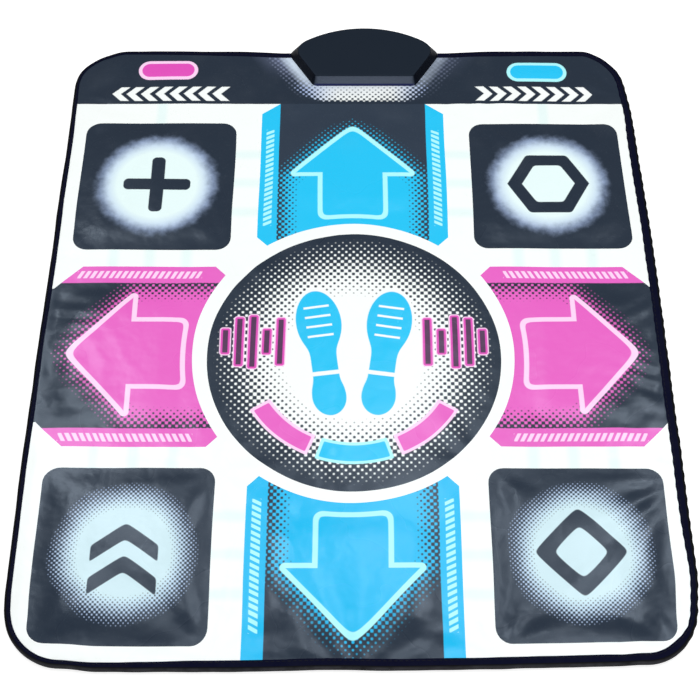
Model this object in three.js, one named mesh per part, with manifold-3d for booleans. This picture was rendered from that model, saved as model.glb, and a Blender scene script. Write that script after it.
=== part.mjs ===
// An electronic dance mat: printed vinyl over foam and film contacts, with a small
// controller housing clamped over its rear edge. Millimetres, +Z up, +Y to the rear.
// The origin lies on the floor, under the middle of the square play field.
import * as THREE from "three";
import { mergeVertices } from "three/addons/utils/BufferGeometryUtils.js";
import Module from "manifold-3d";

const wasm = await Module();
wasm.setup();

// Plan: a square play field as wide as the mat, with a button strip behind it
const matWidth = 820;
const frontAllowance = 2;
const buttonStripDepth = 108;
const matCornerRadius = 68;

// Layers, from the floor up
const backingThickness = 1;
const foamThickness = 4;
const filmThickness = 0.4;
const inkThickness = 0.2;
const spacerThickness = 2.6;
const coverThickness = 1.4;

// Edge binding
const tapeThickness = 1;
const lapWidth = 11;
const rollRadius = 2.4;

// Pressure zones: three columns and rows of pads between the margins and the gutters
const cornerPadMargin = 31;
const padGutter = 76;
const padColumnCount = 3;
const armPadMargin = 18;
const centreGutter = 123;
const padCornerRadius = 14;
const leastCornerRadius = 4;
const buttonMargin = 137;
const buttonSetback = 35;
const buttonLength = 94;
const buttonWidth = 40;
const contactThickness = 0.8;
const contactInset = 9;
const spacerHoleRadius = 16;
const buttonHoleRadius = 10;
const spacerHolesAcross = 3;

// Printed circuit on the lower film
const circuitInset = 24;
const buttonCircuitInset = 8;
const traceWidth = 12;
const tracePitch = 50;
const tailTraceMargin = 1;
const tracesInBundle = 3;

// Controller housing
const housingOffset = 17.5;
const housingLap = 64;
const housingFrontWidth = 150;
const shoulderSetback = 2;
const housingWidth = 228;
const housingOverhang = 41;
const housingHeight = 16;
const housingDraft = 5.5;
const housingEdgeRadius = 2;
const housingWall = 2.2;
const frontCornerCut = 6;
const shoulderCornerCut = 12;
const clampMargin = 8;
const trayFloor = 2;
const trayWall = 2;

// Electronics
const boardClearance = 6.4;
const boardLength = 42;
const boardThickness = 1.6;
const boardSetback = 8;
const restSize = 5;
const stripWidth = 5;
const chipSize = 12;
const chipThickness = 1.8;
const connectorLength = 16;
const connectorWidth = 6;
const connectorHeight = 5;
const tailMargin = 16;
const tailReach = 16;
const clampBarThickness = 3;
const clampBarWidth = 8;
const clampBarOverhang = 8;

// Screws
const screwRadius = 1.4;
const screwHeadRadius = 2.8;
const screwHeadThickness = 1.6;
const screwBite = 6;
const bossRadius = 3.6;
const clampScrewRadius = 1;
const clampScrewHeadRadius = 2;
const clampScrewHeadThickness = 1.2;
const clampScrewDepth = 2.2;
const frontScrewInset = 17;
const shoulderScrewInset = 30;
const rearScrewSetback = 8;

// Cable gland
const glandRise = 6.5;
const glandBoreRadius = 2.2;
const glandHoleRadius = 4;
const glandFlangeRadius = 5.2;
const glandFlangeThickness = 1.4;
const glandPocketWidth = 18;
const glandPocketDepth = 5;
const glandWall = 3;

// Fits
const gap = 0.3;
const padClearance = 0.5;
const overrun = 5;
const weldTolerance = 0.0001;

// Facets
const cornerSteps = 6;
const padCornerSteps = 2;
const holeSteps = 6;
const rodSteps = 8;
const rollSteps = 3;
const crownSteps = 10;
const cutSteps = 3;

// Heights of the layer faces above the floor
const foamTop = backingThickness + foamThickness;
const lowerFilmTop = foamTop + filmThickness;
const inkTop = lowerFilmTop + inkThickness;
const spacerTop = inkTop + spacerThickness;
const upperFilmTop = spacerTop + filmThickness;
const coverTop = upperFilmTop + coverThickness;
const bindingTop = coverTop + tapeThickness;
const contactBottom = upperFilmTop - contactThickness;
const boardTop = inkTop + boardThickness;
const clampBarTop = upperFilmTop + clampBarThickness;
const trayTop = coverTop - gap;
const housingTop = coverTop + housingHeight;

// Edges in plan
const halfWidth = matWidth / 2;
const frontEdge = -halfWidth - frontAllowance;
const rearEdge = halfWidth + buttonStripDepth;
const layerInset = tapeThickness + gap;
const housingFront = rearEdge - housingLap;
const housingShoulder = rearEdge - shoulderSetback;
const housingCrown = rearEdge + housingOverhang;
const notchFront = housingFront + clampMargin;
const tailEnd = notchFront + tailReach;
const boardFront = notchFront + boardSetback;
const boardRear = boardFront + boardLength;
const frontScrewX = housingFrontWidth / 2 - frontScrewInset;
const boardWidth = 2 * (frontScrewX - bossRadius - boardClearance);
const tailWidth = boardWidth - 2 * tailMargin;
const tailTracePitch = (tailWidth - 2 * tailTraceMargin - traceWidth) / (tracesInBundle - 1);
const clampY = boardFront + clampBarWidth / 2;
const clampScrewOffset = (tailWidth + clampBarOverhang) / 2;
const padSize = (matWidth - 2 * cornerPadMargin - (padColumnCount - 1) * padGutter) / padColumnCount;
const buttonOffset = halfWidth - buttonMargin;
const farAway = matWidth + buttonStripDepth;

const finish = {
  vinyl: new THREE.MeshStandardMaterial({ color: 0xf2f5f5, roughness: 0.35, metalness: 0 }),
  slate: new THREE.MeshStandardMaterial({ color: 0x363f4c, roughness: 0.35, metalness: 0 }),
  cyan: new THREE.MeshStandardMaterial({ color: 0x3cc4f8, roughness: 0.35, metalness: 0 }),
  pink: new THREE.MeshStandardMaterial({ color: 0xf062c8, roughness: 0.35, metalness: 0 }),
  tape: new THREE.MeshStandardMaterial({ color: 0x16181c, roughness: 0.85, metalness: 0 }),
  backing: new THREE.MeshStandardMaterial({ color: 0x2a2c30, roughness: 0.95, metalness: 0 }),
  foam: new THREE.MeshStandardMaterial({ color: 0xc9cdd0, roughness: 0.95, metalness: 0 }),
  film: new THREE.MeshStandardMaterial({ color: 0xdfe8ea, roughness: 0.3, metalness: 0 }),
  ink: new THREE.MeshStandardMaterial({ color: 0x9da3a8, roughness: 0.45, metalness: 0.6 }),
  carbon: new THREE.MeshStandardMaterial({ color: 0x33363a, roughness: 0.7, metalness: 0 }),
  casing: new THREE.MeshStandardMaterial({ color: 0x1d222c, roughness: 0.45, metalness: 0 }),
  board: new THREE.MeshStandardMaterial({ color: 0x1e6b3c, roughness: 0.5, metalness: 0 }),
  chip: new THREE.MeshStandardMaterial({ color: 0x151517, roughness: 0.6, metalness: 0 }),
  connector: new THREE.MeshStandardMaterial({ color: 0xe8e4d8, roughness: 0.5, metalness: 0 }),
  rubber: new THREE.MeshStandardMaterial({ color: 0x101012, roughness: 0.8, metalness: 0 }),
  steel: new THREE.MeshStandardMaterial({ color: 0xb4b8bc, roughness: 0.35, metalness: 1 }),
};

const part = new THREE.Group();

// Solids: closed three.js geometry in, joined or cut, and a named mesh out
function solid(geometry) {
  const bare = geometry.index ? geometry.toNonIndexed() : geometry.clone();
  bare.deleteAttribute("normal");
  bare.deleteAttribute("uv");
  const merged = mergeVertices(bare, weldTolerance);
  const vertProperties = new Float32Array(merged.attributes.position.array);
  const triVerts = new Uint32Array(merged.index.array);
  return new wasm.Manifold(new wasm.Mesh({ numProp: 3, vertProperties, triVerts }));
}

function joined(solids) {
  return solids.reduce((all, next) => all.add(next));
}

function without(body, cutters) {
  return cutters.reduce((rest, cutter) => rest.subtract(cutter), body);
}

function addMesh(name, body, material, parent = part) {
  const made = body.getMesh();
  const geometry = new THREE.BufferGeometry();
  geometry.setAttribute("position", new THREE.BufferAttribute(made.vertProperties, 3));
  geometry.setIndex(new THREE.BufferAttribute(made.triVerts, 1));
  geometry.computeVertexNormals();
  const mesh = new THREE.Mesh(geometry, material);
  mesh.name = name;
  parent.add(mesh);
  return mesh;
}

// A plate is a flat shape between two heights, with its faces exactly on them
function plate(shape, low, high, steps = cornerSteps) {
  const geometry = new THREE.ExtrudeGeometry(shape, {
    depth: 1,
    bevelEnabled: false,
    curveSegments: steps,
  });
  const position = geometry.attributes.position;
  for (let i = 0; i < position.count; i++) {
    position.setZ(i, position.getZ(i) > 0 ? high : low);
  }
  return solid(geometry);
}

function roundedRectangle(xLow, xHigh, yLow, yHigh, radius) {
  const shape = new THREE.Shape();
  const quarter = Math.PI / 2;
  shape.absarc(xHigh - radius, yLow + radius, radius, -quarter, 0, false);
  shape.absarc(xHigh - radius, yHigh - radius, radius, 0, quarter, false);
  shape.absarc(xLow + radius, yHigh - radius, radius, quarter, 2 * quarter, false);
  shape.absarc(xLow + radius, yLow + radius, radius, 2 * quarter, 3 * quarter, false);
  return shape;
}

function box(xLow, xHigh, yLow, yHigh, low, high) {
  const shape = new THREE.Shape();
  shape.moveTo(xLow, yLow).lineTo(xHigh, yLow).lineTo(xHigh, yHigh).lineTo(xLow, yHigh);
  return plate(shape, low, high);
}

// A box given by its middle in plan
function block(x, y, width, length, low, high) {
  return box(x - width / 2, x + width / 2, y - length / 2, y + length / 2, low, high);
}

function rod(x, y, radius, low, high, steps = rodSteps) {
  const shape = new THREE.Shape().absarc(x, y, radius, 0, 2 * Math.PI, false);
  return plate(shape, low, high, steps);
}

// A closed solid through rings of points at rising heights, each with as many points
function loft(rings) {
  const count = rings[0].points.length;
  const positions = rings.flatMap((ring) => ring.points.flatMap((p) => [p.x, p.y, ring.height]));
  const index = [];
  for (let level = 0; level + 1 < rings.length; level++) {
    for (let i = 0; i < count; i++) {
      const a = level * count + i;
      const b = level * count + ((i + 1) % count);
      index.push(a, b, b + count, a, b + count, a + count);
    }
  }
  const last = (rings.length - 1) * count;
  for (const [a, b, c] of THREE.ShapeUtils.triangulateShape(rings[0].points, [])) {
    index.push(a, c, b);
  }
  for (const [a, b, c] of THREE.ShapeUtils.triangulateShape(rings.at(-1).points, [])) {
    index.push(last + a, last + b, last + c);
  }
  const geometry = new THREE.BufferGeometry();
  geometry.setAttribute("position", new THREE.Float32BufferAttribute(positions, 3));
  geometry.setIndex(index);
  return solid(geometry);
}

// A quarter round between a side and a top: each step's drop below the top, and its inset
function quarterRound(radius) {
  return Array.from({ length: rollSteps + 1 }, (_, i) => {
    const turn = ((Math.PI / 2) * i) / rollSteps;
    return { drop: radius * (1 - Math.sin(turn)), inset: radius * (1 - Math.cos(turn)) };
  });
}

function matOutline(inset) {
  return roundedRectangle(
    -halfWidth + inset,
    halfWidth - inset,
    frontEdge + inset,
    rearEdge - inset,
    matCornerRadius - inset,
  );
}

// The housing's outline in plan, drawn in by an inset: a straight front, flaring flanks,
// and a rear that is one arc from shoulder to shoulder
const halfFront = housingFrontWidth / 2;
const halfShoulder = housingWidth / 2;
const crownRise = housingCrown - housingShoulder;
const crownRadius = (halfShoulder ** 2 + crownRise ** 2) / (2 * crownRise);
const crownCentre = housingCrown - crownRadius;
const inward = new THREE.Vector2(-1, 0);
const flank = new THREE.Vector2(
  halfShoulder - halfFront,
  housingShoulder - housingFront,
).normalize();

function along(start, direction, length) {
  return start.clone().addScaledVector(direction, length);
}

function crownPoint(radius, angle) {
  return new THREE.Vector2(radius * Math.cos(angle), crownCentre + radius * Math.sin(angle));
}

function cutCorner(before, corner, after) {
  return new THREE.QuadraticBezierCurve(before, corner, after).getPoints(cutSteps);
}

function housingPoints(inset) {
  const radius = crownRadius - inset;
  const onFlank = new THREE.Vector2(halfFront - flank.y * inset, housingFront + flank.x * inset);
  const front = along(onFlank, flank, (housingFront + inset - onFlank.y) / flank.y);
  const fromCentre = new THREE.Vector2(onFlank.x, onFlank.y - crownCentre);
  const half = fromCentre.dot(flank);
  const reach = -half + Math.sqrt(half ** 2 - fromCentre.lengthSq() + radius ** 2);
  const shoulder = along(onFlank, flank, reach);
  const shoulderAngle = Math.atan2(shoulder.y - crownCentre, shoulder.x);
  const arcStart = shoulderAngle + shoulderCornerCut / radius;
  const sweep = Math.PI / 2 - arcStart;
  const rightHalf = [
    ...cutCorner(along(front, inward, frontCornerCut), front, along(front, flank, frontCornerCut)),
    ...cutCorner(
      along(shoulder, flank, -shoulderCornerCut),
      shoulder,
      crownPoint(radius, arcStart),
    ),
  ];
  for (let i = 1; i < crownSteps; i++) {
    rightHalf.push(crownPoint(radius, arcStart + (sweep * i) / crownSteps));
  }
  const leftHalf = rightHalf.map((p) => new THREE.Vector2(-p.x, p.y)).reverse();
  const all = [...rightHalf, crownPoint(radius, Math.PI / 2), ...leftHalf];
  return all.map((p) => new THREE.Vector2(p.x + housingOffset, p.y));
}

function housingPlate(inset, low, high) {
  return plate(new THREE.Shape(housingPoints(inset)), low, high);
}

// The upper shell's form: a straight foot, drafted sides and a rounded edge to the deck
function housingLoft(inset, foot, top) {
  const rings = [
    { height: foot, points: housingPoints(inset) },
    { height: coverTop, points: housingPoints(inset) },
  ];
  for (const step of quarterRound(housingEdgeRadius)) {
    const points = housingPoints(inset + housingDraft + step.inset);
    rings.push({ height: top - step.drop, points });
  }
  return loft(rings);
}

const behindMat = box(
  -farAway,
  farAway,
  rearEdge + gap,
  rearEdge + farAway,
  -overrun,
  housingTop + overrun,
);

// Pressure zones: eight around the play field and two on the button strip
const cornerOffset = halfWidth - cornerPadMargin - padSize / 2;
const armPadInnerEnd = padSize / 2 + centreGutter;
const armPadOuterEnd = halfWidth - armPadMargin;
const armPadLength = armPadOuterEnd - armPadInnerEnd;
const armOffset = (armPadInnerEnd + armPadOuterEnd) / 2;

function fieldZone(name, x, y, width, length, colour) {
  const holes = { rows: spacerHolesAcross, holeRadius: spacerHoleRadius };
  return { name, x, y, width, length, colour, radius: padCornerRadius, circuitInset, ...holes };
}

function cornerZone(name, sideX, sideY) {
  return fieldZone(name, sideX * cornerOffset, sideY * cornerOffset, padSize, padSize, "slate");
}

function buttonZone(name, side, colour) {
  return {
    name,
    x: side * buttonOffset,
    y: rearEdge - buttonSetback,
    width: buttonLength,
    length: buttonWidth,
    colour,
    radius: (buttonWidth - gap) / 2,
    circuitInset: buttonCircuitInset,
    rows: 1,
    holeRadius: buttonHoleRadius,
  };
}

const zones = [
  fieldZone("up", 0, armOffset, padSize, armPadLength, "cyan"),
  fieldZone("down", 0, -armOffset, padSize, armPadLength, "cyan"),
  fieldZone("left", -armOffset, 0, armPadLength, padSize, "pink"),
  fieldZone("right", armOffset, 0, armPadLength, padSize, "pink"),
  cornerZone("rear_left", -1, 1),
  cornerZone("rear_right", 1, 1),
  cornerZone("front_left", -1, -1),
  cornerZone("front_right", 1, -1),
  buttonZone("button_left", -1, "pink"),
  buttonZone("button_right", 1, "cyan"),
];

function zonePlate(zone, inset, low, high, x = 0, y = 0) {
  const reachX = zone.width / 2 - inset;
  const reachY = zone.length / 2 - inset;
  const radius = Math.max(zone.radius - inset, leastCornerRadius);
  const shape = roundedRectangle(x - reachX, x + reachX, y - reachY, y + reachY, radius);
  return plate(shape, low, high, padCornerSteps);
}

function windows(low, high) {
  return zones.map((zone) => zonePlate(zone, 0, low - overrun, high + overrun, zone.x, zone.y));
}

// A full layer, notched where the housing's tray stands in the rear edge
function layer(low, high) {
  const notch = housingPlate(clampMargin, low - overrun, high + overrun);
  return plate(matOutline(layerInset), low, high).subtract(notch);
}

// Backing, between the binding's lower laps and around the housing's flange
function addBacking() {
  const sheet = plate(matOutline(lapWidth + gap), 0, backingThickness);
  const opening = housingPlate(-gap, -overrun, backingThickness + overrun);
  addMesh("anti_slip_backing", sheet.subtract(opening), finish.backing);
}

function addFoamLayers() {
  addMesh("base_foam", layer(backingThickness, foamTop), finish.foam);
  const frame = without(layer(inkTop, spacerTop), windows(inkTop, spacerTop));
  addMesh("spacer_foam", frame, finish.foam);
}

// Both films carry a tail that runs into the housing
function filmTail(low, high) {
  const reach = tailWidth / 2;
  return box(
    housingOffset - reach,
    housingOffset + reach,
    notchFront - overrun,
    tailEnd,
    low,
    high,
  );
}

function addFilms() {
  const lower = layer(foamTop, lowerFilmTop).add(filmTail(foamTop, lowerFilmTop));
  addMesh("lower_film", lower, finish.film);
  const upper = layer(spacerTop, upperFilmTop).add(filmTail(spacerTop, upperFilmTop));
  addMesh("upper_film", without(upper, windows(spacerTop, upperFilmTop)), finish.film);
}

// Printed pads under the zones, joined by bundles of traces that end on the tail
function traceX(y, xLow, xHigh) {
  return box(xLow, xHigh, y - traceWidth / 2, y + traceWidth / 2, lowerFilmTop, inkTop);
}

function traceY(x, yLow, yHigh) {
  return box(x - traceWidth / 2, x + traceWidth / 2, yLow, yHigh, lowerFilmTop, inkTop);
}

function addCircuit() {
  const pads = zones.map((zone) => {
    return zonePlate(zone, zone.circuitInset, lowerFilmTop, inkTop, zone.x, zone.y);
  });
  const buttonTraces = [-1, 1].map((side) => {
    return traceY(side * buttonOffset, cornerOffset, rearEdge - buttonSetback);
  });
  const bundles = [];
  for (let i = 0; i < tracesInBundle; i++) {
    const place = i - (tracesInBundle - 1) / 2;
    const tailX = housingOffset + place * tailTracePitch;
    bundles.push(traceY(tailX, armOffset, tailEnd - traceWidth / 2));
    for (const side of [-1, 1]) {
      const offset = side * (cornerOffset + place * tracePitch);
      bundles.push(traceX(offset, -cornerOffset, cornerOffset));
      bundles.push(traceY(offset, -cornerOffset, cornerOffset));
    }
  }
  addMesh("lower_circuit", joined([...pads, ...buttonTraces, ...bundles]), finish.ink);
}

function addCover() {
  const sheet = without(layer(upperFilmTop, coverTop), windows(upperFilmTop, coverTop));
  addMesh("cover_sheet", sheet, finish.vinyl);
}

// A tape folded over the edge, with flat laps above and below and a rounded outer roll
function addBinding() {
  const ring = (height, inset) => ({ height, points: matOutline(inset).getPoints(cornerSteps) });
  const upper = quarterRound(rollRadius).map(({ drop, inset }) => ring(bindingTop - drop, inset));
  const lower = quarterRound(rollRadius).map(({ drop, inset }) => ring(drop, inset));
  const tape = without(loft([...lower.reverse(), ...upper]), [
    plate(matOutline(tapeThickness), backingThickness, coverTop),
    plate(matOutline(lapWidth), -overrun, bindingTop + overrun),
    housingPlate(-padClearance, -overrun, housingTop),
  ]);
  addMesh("edge_binding", tape, finish.tape);
}

// Each zone: a cut-out of the cover, the contact bonded under it, and a perforated spacer
function addZone(zone) {
  const group = new THREE.Group();
  group.position.set(zone.x, zone.y, 0);
  part.add(group);

  const pad = zonePlate(zone, padClearance, upperFilmTop, coverTop);
  addMesh(zone.name + "_pad", pad, finish[zone.colour], group);

  const contact = zonePlate(zone, contactInset, contactBottom, upperFilmTop);
  addMesh(zone.name + "_contact", contact, finish.carbon, group);

  const stepX = zone.width / (spacerHolesAcross + 1 / 2);
  const stepY = zone.length / (zone.rows + 1 / 2);
  const holes = [];
  for (let column = 0; column < spacerHolesAcross; column++) {
    for (let row = 0; row < zone.rows; row++) {
      const x = (column - (spacerHolesAcross - 1) / 2) * stepX;
      const y = (row - (zone.rows - 1) / 2) * stepY;
      holes.push(rod(x, y, zone.holeRadius, inkTop - overrun, contactBottom + overrun, holeSteps));
    }
  }
  const pillow = zonePlate(zone, padClearance, inkTop, contactBottom);
  addMesh(zone.name + "_spacer", without(pillow, holes), finish.foam, group);
}

// Housing screws stand near the two front corners and the two shoulders
const rearScrewX = halfShoulder - shoulderScrewInset;
const frontScrewY = housingFront + frontScrewInset;
const rearScrewY = housingShoulder + rearScrewSetback;
const screwPlaces = [
  { name: "front_left", x: housingOffset - frontScrewX, y: frontScrewY },
  { name: "front_right", x: housingOffset + frontScrewX, y: frontScrewY },
  { name: "rear_left", x: housingOffset - rearScrewX, y: rearScrewY },
  { name: "rear_right", x: housingOffset + rearScrewX, y: rearScrewY },
];

function clampScrewHoles(low, high) {
  return [-1, 1].map((side) => {
    return rod(housingOffset + side * clampScrewOffset, clampY, clampScrewRadius + gap, low, high);
  });
}

// Lower half: a flange under the mat, a tray up through its notch, and a deeper part behind
function lowerShell() {
  const flange = housingPlate(0, 0, backingThickness);
  const tray = housingPlate(clampMargin + gap, 0, trayTop);
  const rear = housingPlate(0, 0, trayTop).intersect(behindMat);
  const trayHollow = housingPlate(clampMargin + gap + trayWall, trayFloor, trayTop + overrun);
  const rearHollow = housingPlate(housingWall, trayFloor, trayTop + overrun).intersect(
    box(
      -farAway,
      farAway,
      rearEdge + gap + trayWall,
      rearEdge + farAway,
      trayFloor,
      trayTop + overrun,
    ),
  );
  const slotReach = boardWidth / 2 + gap;
  const tailSlot = box(
    housingOffset - slotReach,
    housingOffset + slotReach,
    housingFront,
    notchFront + gap + trayWall + overrun,
    foamTop - gap,
    trayTop + overrun,
  );
  return without(joined([flange, tray, rear]), [trayHollow, rearHollow, tailSlot]);
}

function addLowerHousing() {
  const sunk = trayFloor - gap;
  const ledge = box(
    housingOffset - boardWidth / 2,
    housingOffset + boardWidth / 2,
    boardFront - gap,
    tailEnd + gap,
    sunk,
    foamTop,
  );
  const rests = [-1, 1].map((side) => {
    const x = housingOffset + side * (boardWidth / 2 - restSize);
    return block(x, boardRear - restSize, restSize, restSize, sunk, inkTop);
  });
  const posts = screwPlaces.map(({ x, y }) => rod(x, y, bossRadius, sunk, trayTop));
  const screwHoles = screwPlaces.flatMap(({ x, y }) => [
    rod(x, y, screwRadius + gap, -overrun, trayTop + overrun),
    rod(x, y, screwHeadRadius + gap, -overrun, screwHeadThickness + gap),
  ]);
  const pilots = clampScrewHoles(foamTop - clampScrewDepth - gap, foamTop + overrun);
  const shell = joined([lowerShell(), ledge, ...rests, ...posts]);
  addMesh("lower_housing", without(shell, [...screwHoles, ...pilots]), finish.casing);
}

// A round bar along Y through the gland's middle
const glandZ = coverTop + glandRise;
const glandSeat = housingCrown - glandPocketDepth;
const glandInside = glandSeat - glandWall;

function glandRod(radius, yLow, yHigh) {
  const geometry = new THREE.CylinderGeometry(radius, radius, yHigh - yLow, 2 * rodSteps);
  geometry.translate(housingOffset, (yLow + yHigh) / 2, glandZ);
  return solid(geometry);
}

// Upper half: a drafted shell with four bosses, and a flat-bottomed pocket for the gland
function addUpperHousing() {
  const outside = housingLoft(0, coverTop, housingTop);
  const inside = housingLoft(housingWall, coverTop - overrun, housingTop - housingWall);
  const bosses = screwPlaces.map(({ x, y }) => rod(x, y, bossRadius, coverTop, housingTop));
  const seat = box(
    housingOffset - glandPocketWidth / 2 - glandWall,
    housingOffset + glandPocketWidth / 2 + glandWall,
    glandInside,
    housingCrown,
    coverTop,
    housingTop,
  );
  const fittings = joined([...bosses, seat]).intersect(outside);
  const pocket = box(
    housingOffset - glandPocketWidth / 2,
    housingOffset + glandPocketWidth / 2,
    glandSeat,
    housingCrown + overrun,
    glandZ - glandFlangeRadius,
    glandZ + glandFlangeRadius,
  );
  const hole = glandRod(glandHoleRadius, glandInside - overrun, glandSeat + overrun);
  const pilots = screwPlaces.map(({ x, y }) => {
    return rod(x, y, screwRadius + gap, coverTop - overrun, coverTop + screwBite + gap);
  });
  const shell = outside.subtract(inside).add(fittings);
  addMesh("upper_housing", without(shell, [pocket, hole, ...pilots]), finish.casing);
}

function addGland() {
  const outerFace = glandSeat + gap + glandFlangeThickness;
  const innerFace = glandInside - gap - glandFlangeThickness;
  const body = joined([
    glandRod(glandFlangeRadius - gap, glandSeat + gap, outerFace),
    glandRod(glandFlangeRadius - gap, innerFace, glandInside - gap),
    glandRod(glandHoleRadius - gap, innerFace + gap, outerFace - gap),
  ]);
  const bore = glandRod(glandBoreRadius, innerFace - overrun, outerFace + overrun);
  addMesh("cable_gland", body.subtract(bore), finish.rubber);
}

// The board lies on the lower tail, with a contact strip pressed between it and the upper tail
function addElectronics() {
  const boardY = (boardFront + boardRear) / 2;
  const board = block(housingOffset, boardY, boardWidth, boardLength, inkTop, boardTop);
  const holes = clampScrewHoles(inkTop - overrun, boardTop + overrun);
  addMesh("circuit_board", without(board, holes), finish.board);

  const strip = block(housingOffset, clampY, tailWidth, stripWidth, boardTop, spacerTop);
  addMesh("contact_strip", strip, finish.rubber);

  const chipY = boardRear - chipSize;
  const chipTop = boardTop + chipThickness;
  const chip = block(housingOffset, chipY, chipSize, chipSize, boardTop, chipTop);
  addMesh("controller_chip", chip, finish.chip);

  const connectorX = housingOffset + boardWidth / 2 - connectorLength;
  const connector = block(
    connectorX,
    boardRear - connectorWidth / 2,
    connectorLength,
    connectorWidth,
    boardTop,
    boardTop + connectorHeight,
  );
  addMesh("cord_connector", connector, finish.connector);
}

function addClamp() {
  const barLength = tailWidth + 2 * clampBarOverhang;
  const bar = block(
    housingOffset,
    clampY,
    barLength,
    clampBarWidth,
    upperFilmTop,
    clampBarTop,
  );
  const holes = clampScrewHoles(upperFilmTop - overrun, clampBarTop + overrun);
  addMesh("clamp_bar", without(bar, holes), finish.casing);
  const headTop = clampBarTop + clampScrewHeadThickness;
  for (const { name, side } of [
    { name: "left", side: -1 },
    { name: "right", side: 1 },
  ]) {
    const head = rod(0, 0, clampScrewHeadRadius, clampBarTop, headTop);
    const shank = rod(0, 0, clampScrewRadius, foamTop - clampScrewDepth, headTop);
    const screw = addMesh("clamp_screw_" + name, head.add(shank), finish.steel);
    screw.position.set(housingOffset + side * clampScrewOffset, clampY, 0);
  }
}

function addHousingScrews() {
  for (const { name, x, y } of screwPlaces) {
    const head = rod(0, 0, screwHeadRadius, gap, screwHeadThickness);
    const shank = rod(0, 0, screwRadius, gap, coverTop + screwBite);
    const screw = addMesh("housing_screw_" + name, head.add(shank), finish.steel);
    screw.position.set(x, y, 0);
  }
}

addBacking();
addFoamLayers();
addFilms();
addCircuit();
addCover();
addBinding();
zones.forEach(addZone);
addLowerHousing();
addUpperHousing();
addGland();
addElectronics();
addClamp();
addHousingScrews();

export default part;
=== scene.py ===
import math

import bmesh
import bpy
import numpy as np
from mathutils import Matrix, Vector, kdtree, noise
from mathutils.geometry import delaunay_2d_cdt


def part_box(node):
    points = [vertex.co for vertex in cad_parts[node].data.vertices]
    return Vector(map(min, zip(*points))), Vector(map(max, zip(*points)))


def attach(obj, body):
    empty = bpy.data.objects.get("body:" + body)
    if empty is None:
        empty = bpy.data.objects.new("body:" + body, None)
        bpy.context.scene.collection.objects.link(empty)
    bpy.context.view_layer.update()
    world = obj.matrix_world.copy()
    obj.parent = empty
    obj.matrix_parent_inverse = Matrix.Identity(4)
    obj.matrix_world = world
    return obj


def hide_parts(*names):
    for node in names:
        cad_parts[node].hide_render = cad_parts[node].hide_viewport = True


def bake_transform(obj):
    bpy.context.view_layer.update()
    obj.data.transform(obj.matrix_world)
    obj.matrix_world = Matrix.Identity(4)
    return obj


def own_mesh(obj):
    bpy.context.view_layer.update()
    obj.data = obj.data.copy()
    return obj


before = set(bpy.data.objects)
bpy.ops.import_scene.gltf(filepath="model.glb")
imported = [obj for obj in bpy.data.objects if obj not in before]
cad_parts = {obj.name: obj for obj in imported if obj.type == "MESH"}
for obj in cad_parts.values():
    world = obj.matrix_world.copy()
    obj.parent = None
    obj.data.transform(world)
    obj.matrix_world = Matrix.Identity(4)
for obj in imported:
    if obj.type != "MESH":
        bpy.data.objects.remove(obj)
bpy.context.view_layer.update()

# A padded dance mat with a printed vinyl cover. Sizes are in millimetres, and meshes in metres.
MM = 0.001


def span(node):
    """A CAD node's lowest and highest corners, in millimetres."""
    low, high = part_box(node)
    return low / MM, high / MM


# Sizes read from the frame
MAT_LOW, MAT_HIGH = span("edge_binding")
HALF_WIDTH, FRONT, REAR = MAT_HIGH.x, MAT_LOW.y, MAT_HIGH.y
BINDING_TOP = MAT_HIGH.z
COVER_LOW, COVER_TOP = span("cover_sheet")[0].z, span("cover_sheet")[1].z
COVER_HALF = span("cover_sheet")[1].x
COVER_BOTTOM = COVER_LOW + 0.1
HOUSING_LOW, HOUSING_HIGH = span("upper_housing")
BUTTON_ZONES = ["button_left", "button_right"]

# Mat outline and binding
MIDDLE_Y = (FRONT + REAR) / 2
MAT_CORNER = 68
LAP_WIDTH = 11
LAP_START = 5
UPPER_LAP = 11.6
ROLL_RADIUS = 3.3
BULGE_REACH = 6

# Print layout, measured from the middle of the play field
BAND_LINE = 420
DISC_X, DISC_Y = 1.6, -2.1
DISC_RADIUS = 192.3
RING_RADII = {"up": 207.5, "down": 209.3, "left": 210.4, "right": 211.3}
CORE_HALVES = {"up": 105.5, "down": 105.5, "left": 109, "right": 109}
SIDE_SHIFT = 2
FLAG_WIDTH = 26
TIP_STEP = 12
SHOULDER_RISE = 14
FLAG_END = 401
SIDE_FLAG_END = 366
SIDE_CHAMFER = 389
SIDE_NOTCH = 400
TRACE_OFFSET = 277
# For each corner square: middle (x, y) and half sizes
SQUARES = {
    "rear_left": (-275.8, 274.1, 108.4, 109.8),
    "rear_right": (275.6, 274.7, 108.3, 107.9),
    "front_left": (-277, -273.8, 105.6, 111.7),
    "front_right": (276, -274.2, 108, 111.4),
}
SQUARE_CORNER = 20
ZONES = ["up", "down", "left", "right", *SQUARES, *BUTTON_ZONES]
BUTTON_PATCH = (52, 23.5)
BUTTON_DROP = {"button_left": 1.5, "button_right": 5.2}
BEYOND = 30

# Figures in the print: pills, arched tiles, level bars, soles and chevrons
PILL_HALF = 27.0
PILL_RIM = 16.8
PILL_CORE = 11.6
TILE_RING = 140.0
TILE_HALF = 15.0
COLUMN_START = 88.0
COLUMN_PITCH = 18.0
SOLE_X, SOLE_Y = 41.0, 8.0
SOLE_TURN = math.radians(8)
CHEVRON_LINE = 438.5
CHEVRON_PITCH = 21.0

# Distances between the dots of each halftone
ARM_PITCH = 8.8
GLOW_PITCH = 5.8
DISC_PITCH = 10.2
STRIP_PITCH = 8.5

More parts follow.
